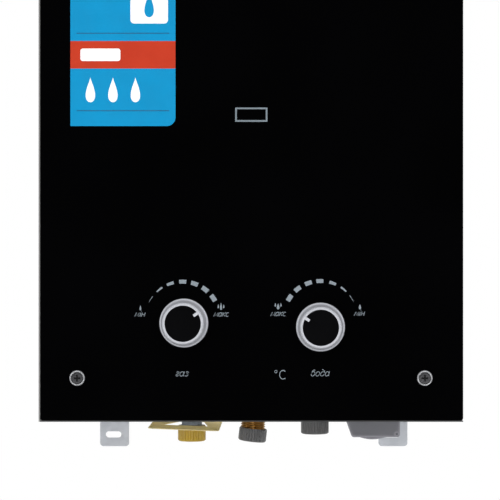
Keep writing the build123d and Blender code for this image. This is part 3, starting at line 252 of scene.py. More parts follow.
floor_paint = bpy.data.materials.new("floor_paint")
floor_paint.use_nodes = True
floor_tree = floor_paint.node_tree
floor_place = add(floor_tree, "TexCoord").outputs["Object"]
floor_reach = add(floor_tree, "VectorMath", {0: floor_place}, operation="LENGTH").outputs["Value"]
floor_shader = floor_tree.nodes["Principled BSDF"]
floor_shader.inputs["Base Color"].default_value = floor_white
floor_shader.inputs["Roughness"].default_value = floor_roughness
floor_fade = spread(floor_tree, floor_reach, floor_solid, floor_radius, to_low=1.0, to_high=0.0)
from_below = add(floor_tree, "NewGeometry").outputs["Backfacing"]
floor_alpha = calculate(floor_tree, "SUBTRACT", floor_fade, from_below)
floor_tree.links.new(floor_alpha, floor_shader.inputs["Alpha"])
floor_mesh.materials.append(floor_paint)
print("floor at", floor.location.z)

# %% [markdown]
# ## Shared effects
# Some effects come back in many finishes, so each is a node group with named sockets, built once.
# Fine grain is the tiny relief of moulded plastic and paint, with a slow drift of tone. Smudge is the
# uneven gloss that handling leaves. Both come from noise, whose middle part is spread over the range
# that is wanted.

# %% Grain and smudge
drift_ratio = 40.0


def effect(name, inputs, outputs):
    """Empty node group with its sockets, and the sockets of its two end nodes."""
    tree = bpy.data.node_groups.new(name, "ShaderNodeTree")
    for socket, kind, value in inputs:
        made = tree.interface.new_socket(socket, in_out="INPUT", socket_type="NodeSocket" + kind)
        if value is not None:
            made.default_value = value
    for socket in outputs:
        tree.interface.new_socket(socket, in_out="OUTPUT", socket_type="NodeSocketFloat")
    start = tree.nodes.new("NodeGroupInput").outputs
    end = tree.nodes.new("NodeGroupOutput").inputs
    return tree, start, end


def make_fine_grain():
    """Tiny relief, and a slow drift of tone over the piece."""
    tree, start, end = effect(
        "fine_grain", [("Vector", "Vector", None), ("Scale", "Float", 1500.0)], ["Height", "Tone"],
    )
    small = add(tree, "TexNoise", {"Vector": start["Vector"], "Scale": start["Scale"], "Detail": 3.0})
    ratio = add(tree, "Math", {0: start["Scale"], 1: drift_ratio}, operation="DIVIDE").outputs[0]
    slow = add(tree, "TexNoise", {"Vector": start["Vector"], "Scale": ratio, "Detail": 2.0})
    tree.links.new(small.outputs["Fac"], end["Height"])
    tree.links.new(spread(tree, slow.outputs["Fac"], low=0.3, high=0.7), end["Tone"])
    return tree


def make_smudge():
    """Roughness that wanders between two values in soft clouds."""
    sockets = [
        ("Vector", "Vector", None), ("Scale", "Float", 30.0),
        ("Low", "Float", 0.1), ("High", "Float", 0.3),
    ]
    tree, start, end = effect("smudge", sockets, ["Roughness"])
    clouds = add(tree, "TexNoise", {
        "Vector": start["Vector"], "Scale": start["Scale"], "Detail": 5.0, "Distortion": 0.6,
    })
    rough = spread(
        tree, clouds.outputs["Fac"], low=0.32, high=0.72, to_low=start["Low"], to_high=start["High"],
    )
    tree.links.new(rough, end["Roughness"])
    return tree


fine_grain = make_fine_grain()
smudge = make_smudge()
print("groups:", fine_grain.name, smudge.name)

# %% [markdown]
# ## Lines, crystals and edges
# Drawn lines are the streaks of brushed, drawn or turned metal: noise in a place that is squeezed
# along the streaks, with patches of tone. Spangle is the crystal pattern of zinc, one tone for each
# cell of a Voronoi texture. Light edges are the thin bright lines where a finish wears thin. They lie
# where a rounded normal leaves the true one.

# %% Lines, spangle and edges
edge_reach = 0.6 * mm


def make_drawn_lines():
    """Streaks along the direction in which the place is squeezed."""
    sockets = [
        ("Vector", "Vector", None), ("Squeeze", "Vector", (1.0, 1.0, 0.02)), ("Scale", "Float", 2500.0),
    ]
    tree, start, end = effect("drawn_lines", sockets, ["Height", "Tone"])
    place = add(tree, "VectorMath", {0: start["Vector"], 1: start["Squeeze"]}, operation="MULTIPLY")
    lines = add(tree, "TexNoise", {
        "Vector": place.outputs["Vector"], "Scale": start["Scale"], "Detail": 4.0, "Roughness": 0.7,
    })
    patches = add(tree, "TexNoise", {"Vector": start["Vector"], "Scale": 45.0, "Detail": 4.0})
    tree.links.new(lines.outputs["Fac"], end["Height"])
    tree.links.new(spread(tree, patches.outputs["Fac"], low=0.35, high=0.7), end["Tone"])
    return tree


def make_spangle():
    """Flat crystals of unequal tone, as on zinc plated sheet."""
    tree, start, end = effect(
        "spangle", [("Vector", "Vector", None), ("Scale", "Float", 160.0)], ["Tone", "Roughness"],
    )
    cells = add(tree, "TexVoronoi", {"Vector": start["Vector"], "Scale": start["Scale"]}, feature="F1")
    tones = add(tree, "SeparateColor", {"Color": cells.outputs["Color"]})
    haze = add(tree, "TexNoise", {"Vector": start["Vector"], "Scale": 60.0, "Detail": 4.0})
    tone = calculate(tree, "MULTIPLY", tones.outputs["Red"], haze.outputs["Fac"])
    tree.links.new(tone, end["Tone"])
    rough = spread(tree, tones.outputs["Green"], low=0.0, high=1.0, to_low=0.34, to_high=0.52)
    tree.links.new(rough, end["Roughness"])
    return tree


def make_light_edges():
    """Mask along the edges: where a rounded normal leaves the true one."""
    tree, start, end = effect("light_edges", [("Radius", "Float", edge_reach)], ["Mask"])
    rounded = add(tree, "Bevel", {"Radius": start["Radius"]}, samples=6).outputs["Normal"]
    straight = add(tree, "NewGeometry").outputs["Normal"]
    agree = add(tree, "VectorMath", {0: rounded, 1: straight}, operation="DOT_PRODUCT")
    tree.links.new(spread(tree, agree.outputs["Value"], low=0.98, high=0.75), end["Mask"])
    return tree


drawn_lines = make_drawn_lines()
spangle = make_spangle()
light_edges = make_light_edges()
print("groups:", drawn_lines.name, spangle.name, light_edges.name)

# %% [markdown]
# ## Start of a finish
# Each finish starts alike: a material with its Principled shader, and the place on the piece in its
# own metres, so that a pattern keeps its size and moves with the piece. The other helpers place one
# of the groups, let the gloss wander, make edges paler and add a bump.

# %% Finish helpers
finishes = {}


def start_finish(name, metallic, roughness):
    """New material among the finishes: its node tree, its shader and the place on the piece."""
    material = bpy.data.materials.new(name)
    material.use_nodes = True
    finishes[name] = material
    tree = material.node_tree
    shader = tree.nodes["Principled BSDF"]
    shader.inputs["Metallic"].default_value = metallic
    shader.inputs["Roughness"].default_value = roughness
    return tree, shader, add(tree, "TexCoord").outputs["Object"]


def use(tree, group, **inputs):
    """Place a node group in a material and fill its sockets."""
    return add(tree, "Group", inputs, node_tree=group).outputs


def smudged(tree, shader, place, scale, low, high):
    """Let the roughness wander between two values in clouds of this scale."""
    rough = use(tree, smudge, Vector=place, Scale=scale, Low=low, High=high)
    tree.links.new(rough["Roughness"], shader.inputs["Roughness"])


def paler_edges(tree, colour, tone, reach=edge_reach):
    """Colour that turns to a paler tone along the edges."""
    mask = use(tree, light_edges, Radius=reach)["Mask"]
    return mix_colour(tree, mask, colour, (*tone, 1))


def bump(tree, shader, height, strength, distance):
    """Let a height pattern tilt the surface."""
    node = add(tree, "Bump", {"Height": height, "Strength": strength, "Distance": distance})
    tree.links.new(node.outputs["Normal"], shader.inputs["Normal"])


print("finish helpers ready")

# %% [markdown]
# ## Plastics, rubber, ceramic and paint
# Moulded pieces share a build-up: two near tones that drift into each other, a fine relief, uneven
# gloss and slightly paler edges. Only their colours and sizes of grain differ, so one function makes
# them all. The caps are soft and let light through their ribbing, which subsurface scattering gives.
# Their colour also carries painted shade and painted highlight: the grooves are painted darker and the
# crests paler, by how sharp the mesh is there.

# %% Moulded finish
relief_depth = 0.2 * mm
smudge_ratio = 20
soft_reach = 1.2 * mm


def moulded(
    name, tone, other, grain, relief, gloss, edge=None, reach=edge_reach, soft=0.0, painted_rib_shading=0.0,
    metallic=0.0,
):
    """Plastic, rubber, ceramic or paint of two near tones."""
    tree, shader, place = start_finish(name, metallic, gloss[1])
    texture = use(tree, fine_grain, Vector=place, Scale=grain)
    # Painted shade and highlight on the ribbing: grooves darker, crests paler, by the sharpness of the
    # mesh.
    if painted_rib_shading:
        crest = spread(tree, add(tree, "NewGeometry").outputs["Pointiness"], low=0.4, high=0.6)
        shade = [value * (1 - painted_rib_shading) for value in tone]
        shine = [value * (1 + painted_rib_shading) for value in other]
        colour = mix_colour(tree, crest, (*shade, 1), (*shine, 1))
    else:
        colour = mix_colour(tree, texture["Tone"], (*tone, 1), (*other, 1))
    if edge:
        colour = paler_edges(tree, colour, edge, reach)
    tree.links.new(colour, shader.inputs["Base Color"])
    smudged(tree, shader, place, grain / smudge_ratio, *gloss)
    bump(tree, shader, texture["Height"], relief, relief_depth)
    if soft:
        shader.inputs["Subsurface Weight"].default_value = soft
        shader.inputs["Subsurface Radius"].default_value = (1.0, 1.0, 1.0)
        shader.inputs["Subsurface Scale"].default_value = soft_reach


print("deepest moulded relief:", round(relief_depth / mm, 2), "mm")

# %% [markdown]
# ## Tones of the moulded pieces
# The tones were matched to the photograph where it shows the piece. What lies inside has the usual
# colours of such parts. A tone is given as it is under white light, from 0, black, to 1, white.

# %% Moulded and painted finishes
moulded(
    "cover_paint", tone=(0.2, 0.196, 0.19), other=(0.185, 0.181, 0.176), grain=900.0, relief=0.25,
    gloss=(0.36, 0.46), edge=(0.26, 0.255, 0.25),
)
moulded(
    "foam_tape", tone=(0.032, 0.032, 0.034), other=(0.04, 0.04, 0.042), grain=2500.0, relief=0.5,
    gloss=(0.8, 0.95),
)
moulded(
    "black_plastic", tone=(0.0022, 0.0022, 0.0025), other=(0.003, 0.003, 0.0034), grain=900.0,
    relief=0.01, gloss=(0.03, 0.06),
)
moulded(
    "black_rubber", tone=(0.016, 0.016, 0.016), other=(0.024, 0.024, 0.024), grain=1200.0, relief=0.2,
    gloss=(0.6, 0.75),
)
moulded(
    "white_ceramic", tone=(0.8, 0.78, 0.73), other=(0.74, 0.72, 0.67), grain=2200.0, relief=0.2,
    gloss=(0.5, 0.65),
)
moulded(
    "dark_plastic", tone=(0.03, 0.03, 0.032), other=(0.042, 0.042, 0.045), grain=1400.0, relief=0.2,
    gloss=(0.4, 0.55), edge=(0.08, 0.08, 0.085),
)
moulded(
    "grey_plastic", tone=(0.086, 0.087, 0.102), other=(0.1, 0.1, 0.117), grain=1600.0, relief=0.12,
    gloss=(0.36, 0.5), edge=(0.27, 0.265, 0.3), reach=4 * mm,
)
moulded(
    "yellow_cap", tone=(0.39, 0.262, 0.012), other=(0.36, 0.24, 0.01), grain=1300.0, relief=0.12,
    gloss=(0.4, 0.52), soft=0.7, painted_rib_shading=0.1,
)
moulded(
    "grey_cap", tone=(0.083, 0.083, 0.084), other=(0.09, 0.09, 0.091), grain=1300.0, relief=0.12,
    gloss=(0.4, 0.52), soft=0.7, painted_rib_shading=0.1,
)
moulded(
    "silicone_lead", tone=(0.5, 0.48, 0.45), other=(0.56, 0.54, 0.5), grain=1300.0, relief=0.1,
    gloss=(0.45, 0.6),
)
moulded(
    "cell_case", tone=(0.03, 0.06, 0.1), other=(0.04, 0.075, 0.12), grain=900.0, relief=0.05,
    gloss=(0.22, 0.32),
)
moulded(
    "knob_silver", tone=(0.46, 0.47, 0.51), other=(0.42, 0.43, 0.47), grain=1800.0, relief=0.08,
    gloss=(0.3, 0.4), edge=(0.5, 0.51, 0.54), metallic=0.25,
)
moulded(
    "ring_silver", tone=(0.43, 0.44, 0.475), other=(0.4, 0.41, 0.445), grain=1800.0, relief=0.05,
    gloss=(0.24, 0.32),
)
print("moulded finishes:", len(finishes))

# %% [markdown]
# ## Drawn and turned metals
# Sheet, pipe and turned pieces show the lines of the tool that made them, and copper and brass have
# darker patches where hands and heat have been. Again one function serves, with the direction of the
# lines as a squeeze of the place.

# %% Drawn metal finishes
line_depth = 0.1 * mm
metal_smudge = 55.0
along_x = (0.02, 1.0, 1.0)
along_z = (1.0, 1.0, 0.02)
round_z = (0.05, 0.05, 1.0)


def drawn_metal(name, tone, patch, squeeze, gloss, scale=2500.0, relief=0.12, metallic=1.0):
    """Metal with fine lines and patches of a second tone."""
    tree, shader, place = start_finish(name, metallic, gloss[1])
    lines = use(tree, drawn_lines, Vector=place, Squeeze=squeeze, Scale=scale)
    colour = mix_colour(tree, lines["Tone"], (*tone, 1), (*patch, 1))
    tree.links.new(colour, shader.inputs["Base Color"])
    smudged(tree, shader, place, metal_smudge, *gloss)
    bump(tree, shader, lines["Height"], relief, line_depth)


drawn_metal("copper_sheet", (0.72, 0.34, 0.19), (0.5, 0.2, 0.1), along_z, gloss=(0.24, 0.42))
drawn_metal("stainless", (0.58, 0.57, 0.55), (0.5, 0.49, 0.47), along_x, gloss=(0.26, 0.4))
drawn_metal(
    "brass_fitting", (0.4, 0.24, 0.078), (0.34, 0.2, 0.062), round_z, gloss=(0.26, 0.36), relief=0.02,
)
drawn_metal(
    "screw_steel", (0.055, 0.055, 0.058), (0.042, 0.042, 0.045), round_z, gloss=(0.26, 0.4),
    metallic=0.8,
)
drawn_metal(
    "chrome_trim", (0.37, 0.375, 0.39), (0.33, 0.335, 0.35), round_z, gloss=(0.1, 0.16), scale=3000.0,
    relief=0.03, metallic=0.35,
)
drawn_metal(
    "pin_steel", (0.1, 0.1, 0.115), (0.09, 0.09, 0.105), round_z, gloss=(0.36, 0.5), relief=0.05,
    metallic=0.3,
)
print("finishes so far:", len(finishes))

# %% [markdown]
# ## Zinc and castings
# Zinc plated steel shows its crystals under a bluish film and is paler on its cut edges. The sheet of
# the back plate is bright, and the gas pipe is duller. Cast metal has a coarse matt skin, with bright
# edges where it was rubbed.

# %% Zinc and cast finishes


def plated_zinc(name, tone, other, edge):
    """Zinc plated steel: pale crystals under a bluish film, paler on its cut edges."""
    tree, shader, place = start_finish(name, metallic=0.15, roughness=0.4)
    crystals = use(tree, spangle, Vector=place)
    colour = mix_colour(tree, crystals["Tone"], (*tone, 1), (*other, 1))
    tree.links.new(paler_edges(tree, colour, edge), shader.inputs["Base Color"])
    tree.links.new(crystals["Roughness"], shader.inputs["Roughness"])
    skin = use(tree, fine_grain, Vector=place, Scale=1200.0)
    bump(tree, shader, skin["Height"], strength=0.08, distance=relief_depth)


def cast_metal(name, tone, other, edge):
    """Die cast alloy: a coarse matt skin with bright rubbed edges."""
    tree, shader, place = start_finish(name, metallic=0.85, roughness=0.5)
    skin = use(tree, fine_grain, Vector=place, Scale=700.0)
    colour = mix_colour(tree, skin["Tone"], (*tone, 1), (*other, 1))
    colour = paler_edges(tree, colour, edge, reach=1.2 * mm)
    tree.links.new(colour, shader.inputs["Base Color"])
    smudged(tree, shader, place, scale=40.0, low=0.42, high=0.58)
    bump(tree, shader, skin["Height"], strength=0.35, distance=0.3 * mm)


plated_zinc("zinc_sheet", (0.4, 0.42, 0.455), (0.47, 0.49, 0.525), (0.62, 0.64, 0.67))
plated_zinc("zinc_pipe", (0.135, 0.16, 0.185), (0.18, 0.205, 0.23), (0.3, 0.33, 0.36))
cast_metal("cast_alloy", (0.5, 0.51, 0.52), (0.58, 0.59, 0.6), (0.75, 0.76, 0.77))
print("finishes so far:", len(finishes))

# %% [markdown]
# ## Glass and card
# The front is float glass with black enamel behind it, so it is a black, very smooth surface with
# faint wipe marks in its gloss. The sight pane is clear. The tag is uncoated card, with fibres that
# run one way, flecks and a matt face, and it is thin enough to let light through.

# %% Glass and card finishes
card_reach = 4 * mm


def black_front():
    """Black enamelled glass with faint wipe marks."""
    tree, shader, place = start_finish("black_glass", metallic=0.0, roughness=0.03)
    tone = use(tree, fine_grain, Vector=place, Scale=400.0)["Tone"]
    colour = mix_colour(tree, tone, (0.0005, 0.0005, 0.0006, 1), (0.0008, 0.0008, 0.001, 1))
    tree.links.new(colour, shader.inputs["Base Color"])
    smudged(tree, shader, place, scale=9.0, low=0.015, high=0.05)


def clear_sight():
    """Clear heat-proof glass, a little hazy."""
    tree, shader, place = start_finish("clear_pane", metallic=0.0, roughness=0.05)
    shader.inputs["Transmission Weight"].default_value = 1.0
    shader.inputs["IOR"].default_value = 1.47
    smudged(tree, shader, place, scale=60.0, low=0.02, high=0.09)


def tag_card():
    """Uncoated khaki card with fibres and flecks."""
    tree, shader, place = start_finish("khaki_card", metallic=0.0, roughness=0.85)
    fibres = use(tree, drawn_lines, Vector=place, Squeeze=(1.0, 0.15, 1.0), Scale=900.0)
    colour = mix_colour(tree, fibres["Tone"], (0.77, 0.54, 0.23, 1), (0.83, 0.6, 0.27, 1))
    fleck = spread(tree, fibres["Height"], low=0.6, high=0.75, to_high=0.6)
    colour = mix_colour(tree, fleck, colour, (0.6, 0.4, 0.15, 1))
    tree.links.new(colour, shader.inputs["Base Color"])
    smudged(tree, shader, place, scale=80.0, low=0.75, high=0.92)
    bump(tree, shader, fibres["Height"], strength=0.25, distance=relief_depth)
    shader.inputs["Subsurface Weight"].default_value = 1.0
    shader.inputs["Subsurface Radius"].default_value = (1.0, 1.0, 1.0)
    shader.inputs["Subsurface Scale"].default_value = card_reach


black_front()
clear_sight()
tag_card()
print("finishes:", sorted(finishes))

# %% [markdown]
# ## Dress the frame
# Every solid of the frame names the finish it takes, so one loop dresses them all. The cover screws
# have a darker copy of theirs, because no light reaches down into the cross of their heads, and the
# lid's hinge pin a paler grey that hardly shows in the side of the battery box.

# %% Finishes on the solids
cross_depth = 0.9 * mm
cross_painted_shade = (0.004, 0.004, 0.004, 1)


def cross_head():
    """Screw steel with painted shade: it turns black down in the cross of the head."""
    material = finishes["screw_steel"].copy()
    material.name = "cross_head"
    tree = material.node_tree
    colour = tree.nodes["Principled BSDF"].inputs["Base Color"]
    steel = colour.links[0].from_socket
    depth = add(tree, "SeparateXYZ", {0: add(tree, "TexCoord").outputs["Object"]}).outputs["Y"]
    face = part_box("cover_screws")[0].y
    shade = spread(tree, depth, face + cross_depth / 2, face + cross_depth)
    tree.links.new(mix_colour(tree, shade, steel, cross_painted_shade), colour)
    return material


for subpart in frame["record"]["subparts"]:
    solid = nodes[subpart["node"]]
    solid.data.materials.clear()
    solid.data.materials.append(finishes[subpart["material_slot"]])
nodes["cover_screws"].data.materials[0] = cross_head()
nodes["lid_hinge_pin"].data.materials[0] = finishes["pin_steel"]

# %% [markdown]
# ## Making a piece
# New pieces are meshes made from lists of points. One helper turns points and faces into an object,
# shades it smooth except at real edges, gives it a finish and lets it ride on a body of the frame.

# %% Piece helpers


def piece(name, points, faces, finish, body, crease=35):
    """Mesh object in the frame's own place, smooth but for edges sharper than the crease."""
    mesh = bpy.data.meshes.new(name)
    mesh.from_pydata(points, [], faces)
    shape = bmesh.new()
    shape.from_mesh(mesh)
    bmesh.ops.recalc_face_normals(shape, faces=shape.faces)
    shape.to_mesh(mesh)
    shape.free()
    mesh.shade_smooth()
    mesh.set_sharp_from_angle(angle=math.radians(crease))
    mesh.materials.append(finish)
    made = bpy.data.objects.new(name, mesh)
    bpy.context.scene.collection.objects.link(made)
    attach(made, body)
    return made


def ring_faces(rings, around, closed=False):
    """Four-sided faces between rings of points that lie one after another in a list."""
    faces = []
    for ring in range(rings if closed else rings - 1):
        for step in range(around):
            here = ring * around
            there = (ring + 1) % rings * around
            after = (step + 1) % around
            faces.append((here + step, here + after, there + after, there + step))
    return faces


print("piece helpers ready")

# %% [markdown]
# ## Turning an outline
# Knobs and washers are turned parts, so they are made as on a lathe: an outline of radius and reach is
# turned about an axis that looks out of the front. A sharp edge looks unreal, because every real one
# catches a line of light, so a helper first rounds the corners of the outline.

# %% Turning helpers
turning_steps = 128
cut_share = 0.45


def rounded(points, radius, steps=4):
    """Outline whose inner corners are replaced by small arcs of about this radius."""
    smooth = [Vector(points[0])]
    for before, corner, after in zip(points, points[1:], points[2:]):
        corner = Vector(corner)
        back = Vector(before) - corner
        ahead = Vector(after) - corner
        cut = min(radius, back.length * cut_share, ahead.length * cut_share)
        first = corner + back.normalized() * cut
        last = corner + ahead.normalized() * cut
        for step in range(steps + 1):
            share = step / steps
            smooth.append(first.lerp(corner, share).lerp(corner.lerp(last, share), share))
    smooth.append(Vector(points[-1]))
    return smooth


def turned_about_y(outline, x, z):
    """Points of an outline of radius and reach, turned about an axis that looks out of the front."""
    points = []
    for radius, y in outline:
        for step in range(turning_steps):
            angle = 2 * math.pi * step / turning_steps
            points.append((x + radius * math.cos(angle), y, z + radius * math.sin(angle)))
    return points


print("steps round a turned piece:", turning_steps)

# %% [markdown]
# ## Knobs
# Each knob is a turned shell: a sloped rim at its foot, a skirt that draws in, a bright ring round the
# face and a black disc let into it. The solid has these forms with plain edges. The piece turns a
# finer outline, with every edge rounded, so that the rims catch the light. The rim's points are how
# far it draws in and how tall it is there, and the ring's how far it stands out past the disc's well
# and how deep it lies under the knob's face, all in millimetres.

# %% Turned knobs
knob_crease = 50
base_gap = 0.3 * mm
disc_gap = 0.05 * mm
hub = 4.2 * mm
skirt_width = 2.1 * mm
skirt_round = 0.5 * mm
ring_round = 0.3 * mm
ring_tall = 1.6
rim_outline = ((0, 1.1), (0.45, 2.0), (1.3, 2.6))
ring_outline = (
    (0, ring_tall), (1.8, ring_tall), (1.7, 0.5), (1.4, 0), (0.12, 0), (0, 0.2), (0, ring_tall - 0.3),
)


def turned_piece(name, outline, x, z, finish, body):
    """Piece turned from an outline, as part of a knob."""
    points = turned_about_y(outline, x, z)
    faces = ring_faces(len(outline), turning_steps, closed=True)
    return piece(name, points, faces, finishes[finish], body, knob_crease)


def turned_knob(name, body):
    """Knob skirt and bright ring with rounded rims, in the place of the solid."""
    low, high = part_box(name)
    disc_low, disc_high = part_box(name + "_disc")
    x = (low.x + high.x) / 2
    z = (low.z + high.z) / 2
    base = (high.x - low.x) / 2 - base_gap
    well = (disc_high.x - disc_low.x) / 2 + disc_gap
    seam = low.y + ring_tall * mm
    rim = [(base - inward * mm, high.y - tall * mm) for inward, tall in rim_outline]
    skirt = rounded([
        (hub, high.y), (base, high.y), *rim, (well + skirt_width, seam), (well, seam),
        (well, disc_high.y), (hub, disc_high.y),
    ], skirt_round)
    ring = rounded([(well + wide * mm, low.y + deep * mm) for wide, deep in ring_outline], ring_round)
    shell = turned_piece(name + "_shell", skirt, x, z, "knob_silver", body)
    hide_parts(name)
    turned_piece(name + "_ring", ring, x, z, "ring_silver", body)
    return x, z, well, disc_low.y


gas_axis = turned_knob("gas_knob", "gas_control")
water_axis = turned_knob("water_knob", "water_control")
print("knob axes:", gas_axis[:2], water_axis[:2])

# %% [markdown]
# ## Pointers
# A short bar runs from the bright ring inwards over each disc and shows the setting. It is a small
# raised bar with sloped sides, built in three layers, each a share of the full height and of the
# length and width. It rides on its knob.

# %% Pointers
pointer_length = 3.8 * mm
pointer_width = 2.3 * mm
pointer_proud = 0.3 * mm
pointer_layer_shares = ((0.0, 1.0), (0.6, 1.0), (1.0, 0.75))
gas_pointer_angle = math.radians(36)
water_pointer_angle = math.radians(148)


def pointer(name, axis, angle, body):
    """Raised bar on a knob's disc, from its ring inwards."""
    x, z, well, face = axis
    out = Vector((math.cos(angle), 0, math.sin(angle)))
    side = Vector((-math.sin(angle), 0, math.cos(angle)))
    points = []
    for proud, slim in pointer_layer_shares:
        for reach, half in ((0, -0.5), (0, 0.5), (pointer_length, 0.5), (pointer_length, -0.5)):
            spot = Vector((x, face - proud * pointer_proud, z))
            spot += out * (well - reach * slim) + side * half * pointer_width * slim
            points.append(tuple(spot))
    faces = ring_faces(len(pointer_layer_shares), around=4) + [(0, 1, 2, 3), (8, 9, 10, 11)]
    piece(name, points, faces, finishes["ring_silver"], body)


pointer("gas_pointer", gas_axis, gas_pointer_angle, "gas_control")
pointer("water_pointer", water_axis, water_pointer_angle, "water_control")
print("pointers at", round(math.degrees(gas_pointer_angle)), round(math.degrees(water_pointer_angle)))

# %% [markdown]
# ## Cup washers
# Each cover screw sits in a chromed cup washer. The solid has a sloped rim with plain edges. The
# piece turns the rolled rim of a pressed washer, so that the lamps run round it as a soft line. Its
# cup is a little wider than the screw's head, and both washers are one mesh, as in the frame.

# %% Rolled washers
washer_low, washer_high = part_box("cup_washers")
head_low, head_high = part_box("cover_screws")
head_gap = 0.1 * mm
washer_outer = (washer_high.z - washer_low.z) / 2
washer_cup = (head_high.z - head_low.z) / 2 + head_gap
washer_lip = washer_cup + 0.1 * mm
washer_hole = 2.1 * mm
washer_roll = 0.4 * mm
washer_side = glass_face - 1.0 * mm
washer_floor = glass_face - 0.8 * mm
washer_round = 0.7 * mm
washer_round_steps = 6
washer_crease = 60
washer_z = (washer_low.z + washer_high.z) / 2

rolled_rim = rounded([
    (washer_hole, glass_face), (washer_outer, glass_face), (washer_outer, washer_side),
    (washer_outer - washer_roll, washer_low.y), (washer_lip, washer_low.y),
    (washer_cup, washer_floor), (washer_hole, washer_floor),
], washer_round, washer_round_steps)
rim_faces = ring_faces(len(rolled_rim), turning_steps, closed=True)
washer_points, washer_faces = [], []
for washer_x in (washer_low.x + washer_outer, washer_high.x - washer_outer):
    start = len(washer_points)
    washer_points += turned_about_y(rolled_rim, washer_x, washer_z)
    washer_faces += [tuple(start + corner for corner in face) for face in rim_faces]
washers = piece(
    "rolled_washers", washer_points, washer_faces, finishes["chrome_trim"], "heater",
    washer_crease,
)
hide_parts("cup_washers")
print("washer radius:", round(washer_outer / mm, 2), "mm")

# %% [markdown]
# ## Seals along the glass
# A narrow strip stands out past the glass on the left, and another closes the gap under it. The
# lower one takes the dark foam finish, which also stands as painted shade for the shadow under the
# glass. Both are plain bars just behind the glass's face, and they ride on the heater.

# %% Glass seals
seal_front = glass_face + 0.5 * mm
seal_back = glass_face + 3.6 * mm
seal_foot = cover_foot - 0.1 * mm


def bar(name, low, high, finish):
    """Straight bar between two opposite corners."""
    ends = (low, high)
    points = [(ends[i][0], ends[j][1], ends[k][2]) for i in (0, 1) for j in (0, 1) for k in (0, 1)]
    faces = [(0, 1, 3, 2), (4, 6, 7, 5), (0, 4, 5, 1), (2, 3, 7, 6), (0, 2, 6, 4), (1, 5, 7, 3)]
    return piece(name, points, faces, finishes[finish], "heater")


left_seal = bar(
    "left_seal", (cover_low.x, seal_front, seal_foot), (glass_low.x, seal_back, glass_high.z),
    "cover_paint",
)
# The lower strip is dark foam, whose darkness also stands as painted shade under the glass.
lower_seal_in_painted_shade = bar(
    "lower_seal_in_painted_shade", (glass_low.x, seal_front, seal_foot), (glass_high.x, seal_back, glass_low.z),
    "foam_tape",
)
print("seals:", left_seal.name, lower_seal_in_painted_shade.name)

# %% [markdown]
# ## Printing on the glass
# The scales and signs are screen printed in a pale grey ink. A print has hardly any thickness, so
# each is a flat outline a few hundredths of a millimetre thick that lies on the glass, closed at its
# rim and its back. All the outlines of one print are joined in one mesh. The frame of the window has
# less ink than the rest.

# %% Ink and flat prints
ink_thick = 0.04 * mm
print_crease = 20


def ink(name, tone, other, shine=0.5):
    """Screen print ink or sticker film of one tone with a faint mottle."""
    tree, shader, place = start_finish(name, metallic=0.0, roughness=0.5)
    shader.inputs["Specular IOR Level"].default_value = shine
    mottle = use(tree, fine_grain, Vector=place, Scale=2200.0)
    colour = mix_colour(tree, mottle["Tone"], (*tone, 1), (*other, 1))
    tree.links.new(colour, shader.inputs["Base Color"])
    smudged(tree, shader, place, scale=120.0, low=0.38, high=0.55)
    bump(tree, shader, mottle["Height"], strength=0.03, distance=0.1 * mm)
    return finishes[name]


pale_ink = ink("pale_ink", (0.192, 0.227, 0.258), (0.178, 0.211, 0.24))
faint_ink = ink("faint_ink", (0.16, 0.197, 0.226), (0.148, 0.183, 0.21))


def printed(name, outlines, finish, lift=0.0):
    """Thin print from closed outlines of x and z, raised off the glass."""
    points, faces = [], []
    back = glass_face - lift
    for outline in outlines:
        start, count = len(points), len(outline)
        points += [(x, back, z) for x, z in outline]
        points += [(x, back - ink_thick, z) for x, z in outline]
        faces.append(tuple(range(start, start + count)))
        faces.append(tuple(range(start + count, start + 2 * count)))
        for step in range(count):
            after = (step + 1) % count
            faces.append((start + step, start + after, start + count + after, start + count + step))
    piece(name, points, faces, finish, "heater", print_crease)


print("ink thickness:", ink_thick)

# %% [markdown]
# ## Scales
# Over each knob seven bars lie on an arc and grow from thin to thick, so the eye sees which way is
# more. They are pieces of one ring whose width changes along the arc, worked out from the arc's
# middle and radius. The angles are in degrees, and the widths in pixels of the photograph.

# %% Scale arcs
gas_angles = (34, 52.5, 71, 89.5, 109, 128, 148)
water_angles = (31.8, 50.8, 70.5, 91, 109.3, 128.6, 147.5)
bar_span = 11.0
taper_share = 1 / 8
bar_widths = [width * pixel for width in (4.6, 4.5, 4.2, 3.8, 2.9, 1.6, 0.4)]
gas_arc_x, gas_arc_z, gas_arc_radius = -54.9 * mm, cover_foot + 82.3 * mm, 29.8 * mm
water_arc_x, water_arc_z, water_arc_radius = 55.6 * mm, cover_foot + 83.3 * mm, 29.3 * mm


def ring_bar(x, z, radius, widths, middle, span, squeeze=1.0, steps=12):
    """Outline of a piece of a ring, with its width at the start and at the end of its span."""
    outer, inner = [], []
    for step in range(steps + 1):
        share = step / steps
        half = (widths[0] + (widths[1] - widths[0]) * share) / 2
        turn = math.radians(middle + span * (share - 0.5))
        for edge, outline in ((radius + half, outer), (radius - half, inner)):
            outline.append((x + squeeze * edge * math.cos(turn), z + edge * math.sin(turn)))
    return outer + inner[::-1]


def scale_bars(x, z, radius, angles, widths):
    """The seven bars of a scale, each tapering towards its thinner neighbour."""
    bars = []
    for place, angle in enumerate(angles):
        before = widths[max(place - 1, 0)]
        after = widths[min(place + 1, len(widths) - 1)]
        taper = (after - before) * taper_share
        ends = (widths[place] - taper, widths[place] + taper)
        bars.append(ring_bar(x, z, radius, ends, angle, bar_span))
    return bars


gas_bars = scale_bars(gas_arc_x, gas_arc_z, gas_arc_radius, gas_angles, bar_widths)
water_bars = scale_bars(water_arc_x, water_arc_z, water_arc_radius, water_angles, bar_widths[::-1])
printed("gas_scale", gas_bars, pale_ink)
printed("water_scale", water_bars, pale_ink)
print("scale bars:", len(gas_bars + water_bars))

# %% [markdown]
# ## Signs
# A small flame stands for little gas and three flames for much, and drops do the same for water.
# Both are one leaf-shaped outline, pointed at its top and round at its foot. A flame is slimmer. Each
# leaf is given by its shift to the right and up, its width and its height, in pixels.

